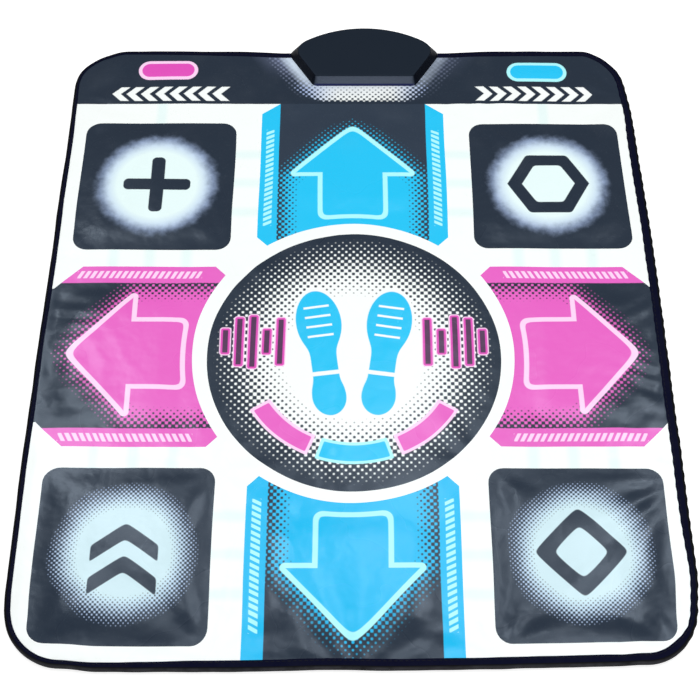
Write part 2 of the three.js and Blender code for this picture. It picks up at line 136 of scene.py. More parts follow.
# Housing footprint
HOUSING_X = (HOUSING_LOW.x + HOUSING_HIGH.x) / 2
HOUSING_FRONT, HOUSING_CROWN = HOUSING_LOW.y, HOUSING_HIGH.y
HOUSING_HALF = 114
HOUSING_HALF_FRONT = 75
HOUSING_SHOULDER = REAR - 2
HOUSING_CLAMP = 8
FLANK_RUN = math.hypot(HOUSING_HALF - HOUSING_HALF_FRONT, HOUSING_SHOULDER - HOUSING_FRONT)
FLANK_SIN = (HOUSING_HALF - HOUSING_HALF_FRONT) / FLANK_RUN
FLANK_COS = (HOUSING_SHOULDER - HOUSING_FRONT) / FLANK_RUN

# Fineness of the meshes
GRID = 4.2
LINE_STEP = 4.5

# Padding and folds of the cover
PILLOW_RISE = 2.2
PILLOW_RAMP = 36
PILLOW_CORNER = 45
BUTTON_RISE = 1.25
BUTTON_RAMP = 14
RIPPLE = 0.3
RIPPLE_SIZE = 70
CREASE = 0.34
CREASE_SIZE = 30
EDGE_CALM = 22
BORDER_FOLDS = 0.32
DRIFT = 1.2
DRIFT_SIZE = 95


def smooth(x, low, high):
    t = np.clip((x - low) / (high - low), 0, 1)
    return t * t * (3 - 2 * t)


def box_distance(x, y, half_x, half_y, radius):
    """Signed distance to a rounded rectangle about the origin, negative inside."""
    qx, qy = np.abs(x) - half_x + radius, np.abs(y) - half_y + radius
    outside = np.hypot(np.maximum(qx, 0), np.maximum(qy, 0))
    return outside + np.minimum(np.maximum(qx, qy), 0) - radius


def rim_distance(x, y):
    """How far inside the mat's outline a point lies."""
    return -box_distance(x, y - MIDDLE_Y, HALF_WIDTH, (REAR - FRONT) / 2, MAT_CORNER)


def housing_distance(x, y):
    ahead = HOUSING_FRONT - y
    beside = (np.abs(x - HOUSING_X) - HOUSING_HALF_FRONT) * FLANK_COS
    beside = beside - (y - HOUSING_FRONT) * FLANK_SIN
    outside = np.hypot(np.maximum(ahead, 0), np.maximum(beside, 0))
    return outside + np.minimum(np.maximum(ahead, beside), 0)


def noise_at(x, y, size, layer):
    return np.array([noise.noise((a / size, b / size, layer)) for a, b in zip(x, y)])


# Folds that fan out from a point: where from (x, y), reach, folds per radian, turn and height
FANS = [
    (404, -404, 170, 10, 0.4, 1.5),
    (-404, -404, 150, 8, 1.9, 1.2),
    (-440, 4, 230, 4, 0.3, 0.8),
    (470, -30, 200, 7, 1.1, 0.7),
    (-404, 430, 160, 8, 0.9, 0.9),
    (404, 430, 140, 9, 2.6, 0.9),
    (170, -400, 150, 10, 0.2, 0.9),
    (-168, -398, 140, 9, 1.3, 0.9),
    (0, 478, 170, 12, 0.7, 1.0),
    (400, -180, 150, 10, 2.9, 1.0),
    (-172, -170, 110, 8, 0.1, 0.7),
    (172, -160, 110, 8, 1.7, 0.7),
    (-172, 166, 110, 8, 0.1, 0.7),
    (175, 384, 120, 9, 1.2, 0.8),
    (0, -440, 160, 13, 0.9, 0.9),
]


# Streaks pulled in from an edge: middle (x, y), reach along and across, spacing, slant and height
PULLS = [
    (-402, 74, 80, 36, 25, 0.22, 0.36),
    (-400, 8, 70, 42, 28, -0.05, 0.32),
    (-402, -64, 85, 40, 33, -0.35, 0.38),
    (404, -52, 75, 46, 30, 0.3, 0.6),
    (404, 60, 60, 36, 27, -0.2, 0.4),
]


def pull_height(x, y):
    bend = noise_at(x, y, 60, 6.6)
    total = np.zeros(len(x))
    for at_x, at_y, along, across, spacing, slant, height in PULLS:
        dx, dy = x - at_x, y - at_y
        wave = np.sin(2 * math.pi * (dy + slant * dx) / spacing + 3.4 * bend)
        total += height * wave * np.exp(-((dx / along) ** 2) - (dy / across) ** 2)
    return total


def fold_height(x, y):
    wobble = 1.6 * noise_at(x, y, 75, 3.7)
    total = np.zeros(len(x))
    for fan_x, fan_y, reach, folds, turn, height in FANS:
        dx, dy = x - fan_x, y - fan_y
        away = np.hypot(dx, dy)
        wave = np.sin(folds * np.arctan2(dy, dx) + turn + wobble)
        total += height * wave * np.exp(-((away / reach) ** 2)) * smooth(away, 8, 60)
    return total


def wrinkle_height(x, y):
    """The cover's ripples and folds, held flat under the binding and the housing."""
    ripple = RIPPLE * noise_at(x, y, RIPPLE_SIZE, 0.5)
    patch = smooth(noise_at(x, y, 130, 8.1), -0.15, 0.35)
    slant = noise_at(x + 0.6 * y, 0.35 * y, CREASE_SIZE, 5.3)
    crease = CREASE * patch * (1 - 2 * np.abs(slant))
    held = smooth(rim_distance(x, y), LAP_WIDTH - 2, LAP_WIDTH + 9)
    held = held * smooth(housing_distance(x, y), 3, 30)
    return held * (ripple + crease + fold_height(x, y) + pull_height(x, y))


def drift(x, y):
    """How far the mat and its print lie from the nominal shape: soft waves and bulging edges."""
    calm = smooth(housing_distance(x, y), 0, 60)
    left, right = smooth(-x, 335, 408), smooth(x, 335, 408)
    front, rear = smooth(-y, 330, 412), smooth(y, 425, 518)
    dx = DRIFT * noise_at(x, y, DRIFT_SIZE, 11.3) - 5.2 * left * (1 - smooth(y, -120, 380))
    dx = dx + 2.4 * left * smooth(-y, 320, 365)
    bulge = 2.7 - 1.3 * smooth(y, 100, 170) - 5.2 * smooth(y, 170, 400) - 3.5 * smooth(y, 400, 480)
    dx = dx + right * (bulge - 3.0 * smooth(y, 380, 460) - 5.4 * smooth(-y, 296, 362))
    dy = DRIFT * noise_at(x, y, DRIFT_SIZE, 17.9) + 3.2 * rear
    dy = dy - 3.5 * smooth(x, 342, 372) * smooth(y, 470, 500)
    dy = dy - 4.6 * smooth(-x, 335, 368) * smooth(y, 470, 505)
    sag = 6.2 - 2.2 * smooth(x, -150, -30) - 4.4 * smooth(x, 110, 310)
    dy = dy - front * sag * (1 - 0.5 * left)
    dy = dy + front * (3.7 * smooth(-x, 300, 345) + 1.8 * smooth(x, 310, 340))
    return calm * dx, calm * dy


# Places: a local frame in plan, with u across and v outward from the field's middle
class Place:
    def __init__(self, x=0.0, y=0.0, turn=0.0):
        self.x, self.y = x, y
        self.cos, self.sin = math.cos(turn), math.sin(turn)

    def plan(self, points):
        u, v = np.asarray(points, float).T
        x = self.x + u * self.cos - v * self.sin
        y = self.y + u * self.sin + v * self.cos
        return np.stack([x, y], axis=1)

    def local(self, x, y):
        dx, dy = x - self.x, y - self.y
        return dx * self.cos + dy * self.sin, dy * self.cos - dx * self.sin


QUARTER = math.pi / 2
ARM_PLACES = {
    "up": Place(),
    "down": Place(turn=2 * QUARTER),
    "left": Place(y=SIDE_SHIFT, turn=QUARTER),
    "right": Place(y=SIDE_SHIFT, turn=-QUARTER),
}


def middle_of(zone):
    low, high = span(zone + "_pad")
    return (low + high) / 2


# Outlines in plan, as closed lists of points
def around(x, y, radius, turns):
    return [(x + radius * math.cos(t), y + radius * math.sin(t)) for t in turns]


def arc(x, y, radius, start, end):
    count = max(4, math.ceil(abs(end - start) * radius / LINE_STEP))
    return around(x, y, radius, np.linspace(start, end, count + 1))


def circle(radius, count, x=0.0, y=0.0):
    return around(x, y, radius, [2 * math.pi * i / count for i in range(count)])


def rounded_box(half_x, half_y, radius):
    centres = [(1, -1), (1, 1), (-1, 1), (-1, -1)]
    points = []
    for i, (sx, sy) in enumerate(centres):
        cx, cy = sx * (half_x - radius), sy * (half_y - radius)
        points += arc(cx, cy, radius, (i - 1) * QUARTER, i * QUARTER)
    return points


def mat_outline(inset=0):
    """The nominal mat's outline, drawn in by an inset."""
    edge = rounded_box(HALF_WIDTH - inset, (REAR - FRONT) / 2 - inset, MAT_CORNER - inset)
    return [(x, y + MIDDLE_Y) for x, y in edge]


def stepped(points, step=LINE_STEP):
    """The closed outline with each side split into short equal edges."""
    made = []
    for (x0, y0), (x1, y1) in zip(points, points[1:] + points[:1]):
        count = max(1, math.ceil(math.hypot(x1 - x0, y1 - y0) / step))
        made += [(x0 + (x1 - x0) * i / count, y0 + (y1 - y0) * i / count) for i in range(count)]
    return made


def arm_shape(zone):
    """An arrow panel with its two flags: an arc facing the disc, and mirrored outer ends."""
    radius, core = RING_RADII[zone], CORE_HALVES[zone]
    edge = core + FLAG_WIDTH
    if zone == "up":
        ends = [(edge, FLAG_END), (core, BAND_LINE)]
    elif zone == "down":
        ends = [(edge, BEYOND - FRONT)]
    else:
        ends = [(edge, SIDE_FLAG_END), (core + 3, SIDE_CHAMFER), (core - 9, SIDE_NOTCH)]
        ends.append((core - 9, HALF_WIDTH + BEYOND))
    tip_turn = math.acos((core + TIP_STEP) / radius)
    right = [(edge, radius * math.sin(tip_turn) + SHOULDER_RISE), *ends]
    left = [(-u, v) for u, v in reversed(right)]
    return stepped(arc(0, 0, radius, math.pi - tip_turn, tip_turn) + right + left)


def button_place(zone):
    middle = middle_of(zone)
    return Place(middle.x, middle.y - BUTTON_DROP[zone])


PLACES = {zone: ARM_PLACES[zone] for zone in ARM_PLACES}
PLACES.update({zone: Place(x, y) for zone, (x, y, *half) in SQUARES.items()})
PLACES.update({zone: button_place(zone) for zone in BUTTON_ZONES})
OUTLINES = {zone: PLACES[zone].plan(arm_shape(zone)) for zone in ARM_PLACES}
for zone, (*middle, half_x, half_y) in SQUARES.items():
    square = stepped(rounded_box(half_x, half_y, SQUARE_CORNER))
    OUTLINES[zone] = PLACES[zone].plan(square)
for zone in BUTTON_ZONES:
    patch = stepped(rounded_box(*BUTTON_PATCH, BUTTON_PATCH[1]))
    OUTLINES[zone] = PLACES[zone].plan(patch)
OUTLINES["disc"] = np.array(arc(DISC_X, DISC_Y, DISC_RADIUS, 0, 4 * QUARTER)[:-1])


def sheet_outline():
    """The cover's own edge, which runs on under the binding, with a notch under the housing."""
    inset = HALF_WIDTH - COVER_HALF
    edge, high = mat_outline(inset), REAR - inset
    half_front = HOUSING_HALF_FRONT - HOUSING_CLAMP / FLANK_COS
    notch_front = HOUSING_FRONT + HOUSING_CLAMP
    slope = FLANK_SIN / FLANK_COS
    front_x = half_front + (notch_front - HOUSING_FRONT) * slope
    rear_x = half_front + (high - HOUSING_FRONT) * slope
    notch = [(rear_x, high), (front_x, notch_front), (-front_x, notch_front), (-rear_x, high)]
    notch = [(HOUSING_X + x, y) for x, y in notch]
    turn = next(i for i, (x, y) in enumerate(edge) if y > high - 0.01 and x < HOUSING_X)
    return np.array(stepped(edge[:turn] + notch + edge[turn:]))


def inside(points, outline):
    """Which points lie in a closed outline, by the sides that a ray to the right crosses."""
    x, y = points.T
    within = np.zeros(len(points), bool)
    for (x0, y0), (x1, y1) in zip(outline, np.roll(outline, -1, axis=0)):
        if y0 != y1:
            crosses = (y0 > y) != (y1 > y)
            within ^= crosses & (x < x0 + (y - y0) * (x1 - x0) / (y1 - y0))
    return within


def nearest(points):
    """A function that gives the distance from a place to the nearest of these points."""
    tree = kdtree.KDTree(len(points))
    for i, (x, y) in enumerate(points):
        tree.insert((x, y, 0), i)
    tree.balance()
    return lambda x, y: tree.find((x, y, 0))[2]


def cover_triangles():
    """One net of triangles over the whole cover, whose edges follow every printed outline."""
    sheet = sheet_outline()
    points, edges = [], []
    for loop in (sheet, *OUTLINES.values()):
        first = len(points)
        points += list(map(tuple, loop))
        edges += [(first + i, first + (i + 1) % len(loop)) for i in range(len(loop))]
    for side in (-1, 1):
        first = len(points)
        line = np.linspace(CORE_HALVES["up"], HALF_WIDTH + BEYOND, 76)
        points += [(side * x, BAND_LINE) for x in line]
        edges += [(first + i, first + i + 1) for i in range(len(line) - 1)]
    to_line = nearest(points)
    for row, y in enumerate(np.arange(FRONT, REAR, GRID * math.sqrt(3) / 2)):
        start = -HALF_WIDTH + (GRID / 2 if row % 2 else 0)
        for x in np.arange(start, HALF_WIDTH, GRID):
            if to_line(x, y) > 0.55 * GRID:
                points.append((x, y))
    flat = [Vector(p) for p in points]
    made, _, faces, *_ = delaunay_2d_cdt(flat, edges, [], 0, 0.01, False)
    net, faces = np.array([tuple(p) for p in made]), np.array(faces)
    centres = net[faces].mean(axis=1)
    keep = inside(centres, sheet)
    return net, faces[keep], centres[keep]


def zone_pillow(x, y):
    """The rise of the foam under each pad, on the print's own borders."""
    rise = np.zeros(len(x))
    for zone in ZONES:
        low, high = span(zone + "_pad")
        half = (high - low) / 2
        middle = middle_of(zone)
        if zone in SQUARES:
            x_middle, y_middle, half_x, half_y = SQUARES[zone]
            half, middle = Vector((half_x - 1, half_y - 1)), Vector((x_middle, y_middle))
        elif zone in ARM_PLACES:
            half = half + Vector((4, 4, 0))
        corner = min(PILLOW_CORNER, half.y - 0.5)
        deep = -box_distance(x - middle.x, y - middle.y, half.x, half.y, corner)
        if zone in BUTTON_ZONES:
            rise += BUTTON_RISE * smooth(deep, 0, BUTTON_RAMP)
        else:
            rise += PILLOW_RISE * smooth(deep, 0, PILLOW_RAMP)
    return rise


def border_calm(x, y):
    """Less than 1 near the borders of the moving pieces, where their folds stay shallow."""
    to_border = nearest(np.concatenate([OUTLINES[zone] for zone in ZONES]))
    away = np.array([to_border(*point) for point in zip(x, y)])
    return BORDER_FOLDS + (1 - BORDER_FOLDS) * smooth(away, 2, EDGE_CALM)


def add(name, data):
    made = bpy.data.objects.new(name, data)
    bpy.context.scene.collection.objects.link(made)
    return made


def new_object(name, vertices, faces, materials, flat_faces=0):
    """A mesh in metres from millimetres. Its last flat_faces faces are shaded flat."""
    mesh = bpy.data.meshes.new(name)
    mesh.from_pydata((np.asarray(vertices, float) * MM).tolist(), [], faces)
    mesh.validate()
    for material in materials:
        mesh.materials.append(material)
    soft = np.ones(len(mesh.polygons), bool)
    if flat_faces:
        soft[-flat_faces:] = False
    mesh.polygons.foreach_set("use_smooth", soft)
    return add(name, mesh)


def settle(piece, node=None):
    """Fixes a piece to the mat, and hides the CAD node it replaces."""
    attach(piece, "mat")
    if node:
        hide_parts(node)


def sharpen(piece, angle=math.radians(32)):
    """Marks every edge sharper than an angle, so that smooth shading stops there."""
    work = bmesh.new()
    work.from_mesh(piece.data)
    for edge in work.edges:
        if len(edge.link_faces) == 2 and edge.calc_face_angle() > angle:
            edge.smooth = False
    work.to_mesh(piece.data)
    work.free()


# Signals: numbers over a surface, whose sums become Math nodes in the material
def feed(tree, slot, value):
    if isinstance(value, Signal):
        value = value.socket
    if isinstance(value, bpy.types.NodeSocket):
        tree.links.new(value, slot)
    else:
        slot.default_value = value


def operator(operation, *before):
    return lambda self, *others: self.math(operation, *before, *others)


class Signal:
    def __init__(self, tree, socket):
        self.tree, self.socket = tree, socket

    def math(self, operation, *others, clamp=False):
        node = self.tree.nodes.new("ShaderNodeMath")
        node.operation, node.use_clamp = operation, clamp
        for slot, value in zip(node.inputs, (self, *others)):
            feed(self.tree, slot, value)
        return Signal(self.tree, node.outputs[0])

    __add__ = __radd__ = operator("ADD")
    __mul__ = __rmul__ = operator("MULTIPLY")
    __sub__, __rsub__ = operator("SUBTRACT"), operator("MULTIPLY_ADD", -1.0)
    __truediv__, __abs__ = operator("DIVIDE"), operator("ABSOLUTE")

    def least(self, other, round_by=0.0):
        return self.math("SMOOTH_MIN", other, round_by) if round_by else self.math("MINIMUM", other)

    def most(self, other, round_by=0.0):
        return self.math("SMOOTH_MAX", other, round_by) if round_by else self.math("MAXIMUM", other)

    def ramp(self, low, high):
        """0 at low and below, 1 at high and above, straight between."""
        scale = 1 / (high - low)
        return self.math("MULTIPLY_ADD", scale, -low * scale, clamp=True)

    def inked(self, soft=0.5):
        """1 where a signed distance says inside, 0 outside, with a soft edge."""
        return self.ramp(soft, -soft)


def length(a, b):
    return (a * a + b * b).math("SQRT")


def rounded(u, v, half_u, half_v, radius):
    """Signed distance to a rounded rectangle."""
    qu, qv = abs(u) - (half_u - radius), abs(v) - (half_v - radius)
    outside = length(qu.most(0.0), qv.most(0.0))
    return outside + qu.most(qv).least(0.0) - radius


def halftone(u, v, pitch, tone, crisp=3.2):
    """Dots on a grid turned by 45 degrees, whose size follows tone, from 0, bare, to 1, full."""
    turn = 2 * math.pi / pitch
    wave = ((u + v) * turn).math("COSINE") + ((u - v) * turn).math("COSINE")
    level = wave * 0.25 + 0.5
    full = tone.ramp(0.93, 1.0)
    bare = tone.ramp(0.0, 0.07)
    return ((level + tone - 1.0) * crisp + 0.5).math("ADD", 0.0, clamp=True).most(full) * bare


def colour(red, green, blue):
    """A linear colour from a screen colour of 0 to 255."""
    channels = [c / 255 for c in (red, green, blue)]
    linear = [c / 12.92 if c <= 0.04045 else ((c + 0.055) / 1.055) ** 2.4 for c in channels]
    return (*linear, 1.0)


def paint(tree, ink, *layers):
    """Colours laid over one another, each as far as its cover says."""
    for above, cover in layers:
        node = tree.nodes.new("ShaderNodeMix")
        node.data_type = "RGBA"
        for slot, value in ((0, cover), (6, ink), (7, above)):
            feed(tree, node.inputs[slot], value)
        ink = node.outputs[2]
    return ink


WHITE = colour(249, 254, 252)
HEART = colour(206, 233, 240)
REAR_HEART = colour(233, 252, 251)
GLOW = colour(170, 192, 236)
GHOST = colour(206, 246, 244)
SLATE = colour(33, 44, 59)
SLATE_PALE = colour(44, 56, 72)
CYAN = colour(26, 197, 246)
CYAN_DEEP = colour(6, 190, 244)
CYAN_PALE = colour(176, 250, 255)
PINK = colour(234, 98, 198)
PINK_DEEP = colour(228, 78, 188)
PINK_PALE = colour(255, 214, 246)
CASE = colour(26, 35, 47)
# The next three casing colours are painted light: a painted highlight for faces toward the front,
# painted shade for the sides and a painted blue shadow line at the foot
CASE_FRONT_HIGHLIGHT = colour(83, 91, 106)
CASE_SIDE_SHADE = colour(5, 8, 20)
CASE_FOOT_SHADOW = colour(28, 34, 84)
TAPE = colour(13, 14, 17)
# A painted sheen on the tape's front faces
TAPE_FRONT_SHEEN = colour(52, 52, 56)
# Navy painted shade on the tape's upper lap
LAP_SHADE = colour(6, 9, 36)
REFLECTED = (0.72, 0.85, 1.0, 1)


def fill(node, values):
    for name, value in values.items():
        node.inputs[name].default_value = value


def textured(tree, scale, detail=2.0, roughness=0.5, kind="ShaderNodeTexNoise"):
    """A texture in the piece's own coordinates, as a signal."""
    places = tree.nodes.new("ShaderNodeTexCoord")
    node = tree.nodes.new(kind)
    fill(node, {"Scale": scale, "Detail": detail, "Roughness": roughness})
    tree.links.new(places.outputs["Object"], node.inputs["Vector"])
    return Signal(tree, node.outputs[0])


def noisy(*values):
    """A maker of a noise texture, for relief."""
    return lambda tree: textured(tree, *values)


def parts(tree, vector):
    """The three parts of a vector, as signals."""
    split = tree.nodes.new("ShaderNodeSeparateXYZ")
    tree.links.new(vector, split.inputs[0])
    return [Signal(tree, part) for part in split.outputs]


def axes(tree, output):
    return parts(tree, tree.nodes.new("ShaderNodeTexCoord").outputs[output])


def ray(tree, kind):
    """1 for rays of a kind, 0 for others."""
    return Signal(tree, tree.nodes.new("ShaderNodeLightPath").outputs[kind])


def shaded(name):
    material = bpy.data.materials.new(name)
    material.use_nodes = True
    return material, material.node_tree, material.node_tree.nodes["Principled BSDF"]


def new_material(name, base, roughness, relief, tint=None, gloss=0.5, sheen=0.0, metallic=0.0):
    """A Principled material. base gives the colour from the tree, roughness is a (low, high,
    scale) patchiness, and relief a list of (height signal maker, depth in metres)."""
    material, tree, shader = shaded(name)
    feed(tree, shader.inputs["Base Color"], base(tree))
    low, high, scale = roughness
    patches = textured(tree, scale)
    feed(tree, shader.inputs["Roughness"], patches.ramp(0.3, 0.7) * (high - low) + low)
    fill(shader, {"Sheen Weight": sheen, "Metallic": metallic, "Specular IOR Level": gloss})
    if tint:
        fill(shader, {"Specular Tint": tint})
    below = None
    for height, depth in relief:
        bump = tree.nodes.new("ShaderNodeBump")
        fill(bump, {"Distance": depth})
        feed(tree, bump.inputs["Height"], height(tree))
        if below:
            tree.links.new(below, bump.inputs["Normal"])
        below = bump.outputs[0]
    tree.links.new(below, shader.inputs["Normal"])
    return material


def vinyl(name, printed):
    """Printed vinyl. printed gives the print's colour from its coordinates in millimetres."""

    def base(tree):
        node = tree.nodes.new("ShaderNodeAttribute")
        node.attribute_name = "print"
        u, v, _ = parts(tree, node.outputs["Vector"])
        ink = printed(tree, u, v)
        cloud = textured(tree, 14.0, 4.0)
        speck = textured(tree, 420.0, 1.0)
        wear_and_sheen = cloud.ramp(0.52, 0.9) * 0.05 + speck.ramp(0.62, 0.8) * 0.04
        return paint(tree, ink, (colour(150, 156, 164), wear_and_sheen))

    relief = [(noisy(36.0), 0.0009), (noisy(700.0), 0.00002)]
    return new_material(name, base, (0.25, 0.3, 9.0), relief, REFLECTED)


def field_print(tree, u, v):
    """White, with the bundles of traces below showing through as faint bars."""
    pitch, half = 50.0, 7.0

    def bars(along, across, reach):
        offset = abs(along) - TRACE_OFFSET
        nearest = (abs(offset) - pitch / 2).math("ABSOLUTE") - pitch / 2
        edge = abs(nearest).least(abs(offset)) - half
        return edge.inked(4.0) * (abs(across) - reach).inked(2.0)

    lengthwise = bars(u, v, TRACE_OFFSET)
    crosswise = bars(v, u, TRACE_OFFSET)
    button_trace = ((abs(abs(u) - TRACE_OFFSET) - half).inked(3.0)) * v.ramp(300.0, 302.0)
    return paint(tree, WHITE, (GHOST, lengthwise.most(crosswise).most(button_trace) * 0.34))


ARROW_STROKE = 6.6
ARROW_ROUND = 6.0
TIP_SOFTNESS = 8.0
FOOT_CUT = 5.6
# For each arrow: foot, shoulder line and tip along its panel, half widths of shaft and head, and
# how dark the dots are at its edge
ARROWS = {
    "up": (217, 288, 377, 50, 88, 0.50),
    "down": (221.5, 288, 381, 50, 89, 0.40),
    "left": (219.5, 287, 373.5, 54.5, 93, 0.44),
    "right": (223.5, 290, 372.5, 54, 90, 0.46),
}


def to_segment(u, v, start, end):
    """Distance to a straight piece between two points."""
    du, dv = end[0] - start[0], end[1] - start[1]
    size = du * du + dv * dv
    along = (u - start[0]) * (du / size)
    share = (v - start[1]).math("MULTIPLY_ADD", dv / size, along).math("ADD", 0.0, clamp=True)
    return length(u - start[0] - share * du, v - start[1] - share * dv)


def arrow_distance(u, v, foot, shoulder, tip, shaft_half, head_half):
    """Signed distances to the arrow's rounded outer edge and to the line of its sloping head."""
    beside = (u * u + TIP_SOFTNESS**2).math("SQRT")
    v = v + u * u * (1 / 620) * v.ramp(shoulder, foot + 30)
    foot_corner = (beside - v - (shaft_half - foot)) * math.sqrt(0.5) + FOOT_CUT
    rise = (tip - shoulder) / head_half
    tip += TIP_SOFTNESS * rise - ARROW_ROUND * math.hypot(1, rise)
    head, shaft = head_half - ARROW_ROUND, shaft_half - ARROW_ROUND
    shoulder, foot = shoulder + ARROW_ROUND, foot + ARROW_ROUND
    corners = [(0, tip), (head, shoulder), (shaft, shoulder), (shaft, foot), (0, foot)]
    edge = to_segment(beside, v, corners[0], corners[1])
    for start, end in zip(corners[1:], corners[2:]):
        edge = edge.least(to_segment(beside, v, start, end))
    size = math.hypot(head, tip - shoulder)
    slope = (beside - head) * ((tip - shoulder) / size) + (v - shoulder) * (head / size)
    in_head = slope.most(shoulder - v)
    in_shaft = (beside - shaft).most(foot - v).most(v - shoulder - 1)
    outside = in_head.least(in_shaft).math("GREATER_THAN", 0.0)
    body = edge * (outside * 2.0 - 1.0) - ARROW_ROUND
    return body.most(foot_corner, 7.0), slope - ARROW_ROUND


def arm_print(zone, tint, pale, ground=SLATE):
    """A panel with its arrow, and a flag with bars on each side."""

    def printed(tree, u, v):
        *form, dark = ARROWS[zone]
        core_half = CORE_HALVES[zone]
        body, slope = arrow_distance(u, v, *form)
        near_tip = abs(u).ramp(42.0, 8.0)
        beyond = slope * (1 / 48) + dark + near_tip * 0.24
        beside = (abs(u) - core_half) * (1 / 42) + 0.73
        tone = beyond.most(beside.least(0.76))
        flag = (core_half - abs(u)).inked()
        return paint(
            tree,
            tint,
            (ground, slope.ramp(0.0, 32.0) * 0.88),
            (ground, halftone(u, v, ARM_PITCH, tone)),
            (pale, body.inked()),
            (tint, (body + ARROW_STROKE).inked()),
            (tint, flag),
            (pale, flag * flag_bars(u, v, core_half + FLAG_WIDTH / 2)),
        )

    return printed


def flag_bars(u, v, middle):
    """A row of short slanted bars along a flag, in four groups of five."""
    across = abs(u) - middle
    start, group_run, bar_run = 204.0, 42.0, 8.4
    slant = (v - start + across * 0.5) / bar_run
    bar = abs(slant.math("FRACT") - 0.5) - 0.31
    group = abs(((v - start + across * 0.5) / group_run).math("FRACT") - 0.5) - 0.455
    whole = abs(v - start - 2 * group_run) - 2 * group_run
    row = (abs(across) - 5.6).inked() * whole.inked()
    return row * (bar * bar_run).inked() * (group * group_run).inked()


def square_print(symbol, dotted):
    """A pale glow round a symbol, made of dots or of a soft ragged cloud."""

    def printed(tree, u, v):
        away = length(u, v)
        if dotted:
            uneven = textured(tree, 14.0, 1.0) * 14.0
            away = away + uneven - 7.0
            glow = halftone(u, v, GLOW_PITCH, away.ramp(92.0, 56.0), 2.0)
            pale = paint(tree, HEART, (GLOW, away.ramp(58.0, 88.0) * 0.85))
        else:
            ragged = textured(tree, 70.0, 4.0, 0.6) * 18.0
            glow = (away + ragged - 9.0).ramp(91.0, 64.0)
            glow = glow * glow * (3.0 - glow * 2.0)
            pale = paint(tree, REAR_HEART, (GLOW, away.ramp(56.0, 80.0) * 0.9))
        return paint(tree, SLATE, (pale, glow), (SLATE, symbol(u, v).inked()))

    return printed


def plus_symbol(u, v):
    return rounded(u, v, 47, 9.5, 7).least(rounded(u, v, 9.5, 47, 7))


def hexagon_symbol(u, v):
    side = abs(u) * math.cos(math.pi / 6) + abs(v) * 0.5
    return abs(side.most(abs(v), 6.0) - 41.0) - 9.0


def chevron_symbol(u, v):
    """Two chevrons, one above the other."""
    bend = (u * u + 16.0).math("SQRT")
    fall = v + bend * 0.75
    line = abs(fall - 28.0).least(abs(fall + 14.0)) * 0.8 - 8.5
    return line.most(abs(u) - 41.0, 5.0)


def diamond_symbol(u, v):
    side = ((u * u + 20.0).math("SQRT") + (v * v + 20.0).math("SQRT")) * math.sqrt(0.5)
    return abs(side - 33.5) - 8.5


def button_print(tint, pale):
    """A pill with a pale rim."""

    def printed(tree, u, v):
        pill = length((abs(u) - PILL_HALF).most(0.0), v)
        rim, core = (pill - PILL_RIM).inked(), (pill - PILL_CORE).inked()
        return paint(tree, SLATE, (pale, rim), (tint, core))

    return printed


def disc_print(tree, u, v):
    """The middle: dots that grow outward, two shoe soles, level bars and three arched tiles."""
    u, v = u - DISC_X, v - DISC_Y
    away = length(u, v)
    white = halftone(u, v, DISC_PITCH, away.ramp(184.0, 92.0))
    ink = paint(tree, SLATE, (WHITE, white))

    beside = abs(u)
    angle = beside.math("ARCTAN2", v * -1.0)
    ring = abs(away - TILE_RING) - TILE_HALF
    middle_tile = ring.most((abs(angle) - 0.33) * away, 3.0)
    side_tile = ring.most((abs(angle - 0.72) - 0.32) * away, 3.0)
    for tile, tint, pale in ((middle_tile, CYAN, CYAN_PALE), (side_tile, PINK, PINK_PALE)):
        ink = paint(tree, ink, (pale, tile.inked()), (tint, (tile + 4.0).inked()))

    column = (beside - COLUMN_START) / COLUMN_PITCH
    number = column.math("FLOOR")
    place = (column - number - 0.5) * COLUMN_PITCH
    tall = abs((number * 2.1 + 0.9).math("SINE")) * 26.0 + 13.0
    level = length((abs(place) - 3.0).most(0.0), (abs(v - 22.0) - tall).most(0.0)) - 2.0
    shown = (number + 0.5).inked(0.01) * -1.0 + 1.0
    shown = shown * (number - 4.5).inked(0.01)
    for tint, edge in ((PINK_PALE, level - 2.6), (PINK_DEEP, level - 1.2), (SLATE, level + 1.6)):
        ink = paint(tree, ink, (tint, edge.inked() * shown))
    sole = sole_distance(beside, v)
    return paint(tree, ink, (WHITE, (sole - 3.5).inked()), (CYAN, sole.inked()))


def sole_distance(beside, v):
    """A shoe sole on each side, toes turned out: forefoot, waist and heel, with slots for tread."""
    across, along = beside - SOLE_X, v - SOLE_Y
    p = across * math.cos(SOLE_TURN) - along * math.sin(SOLE_TURN)
    q = across * math.sin(SOLE_TURN) + along * math.cos(SOLE_TURN)
    fore = length(p, (q - 44.0) * 0.62) - 30.0
    heel = length(p, (q + 68.0) * 0.8) - 22.0
    waist = rounded(p, q + 20.0, 17.0, 42.0, 8.0)
    sole = fore.least(heel, 9.0).least(waist, 12.0)
    stripe = abs((q / 15.0).math("FRACT") - 0.5) * 15.0 - 1.6
    slots = stripe.most(abs(p) - 17.0).most(abs(q - 44.0) - 30.0)
    gap = abs(q + 34.0) - 3.0
    return sole.most(slots * -1.0).most(gap * -1.0)


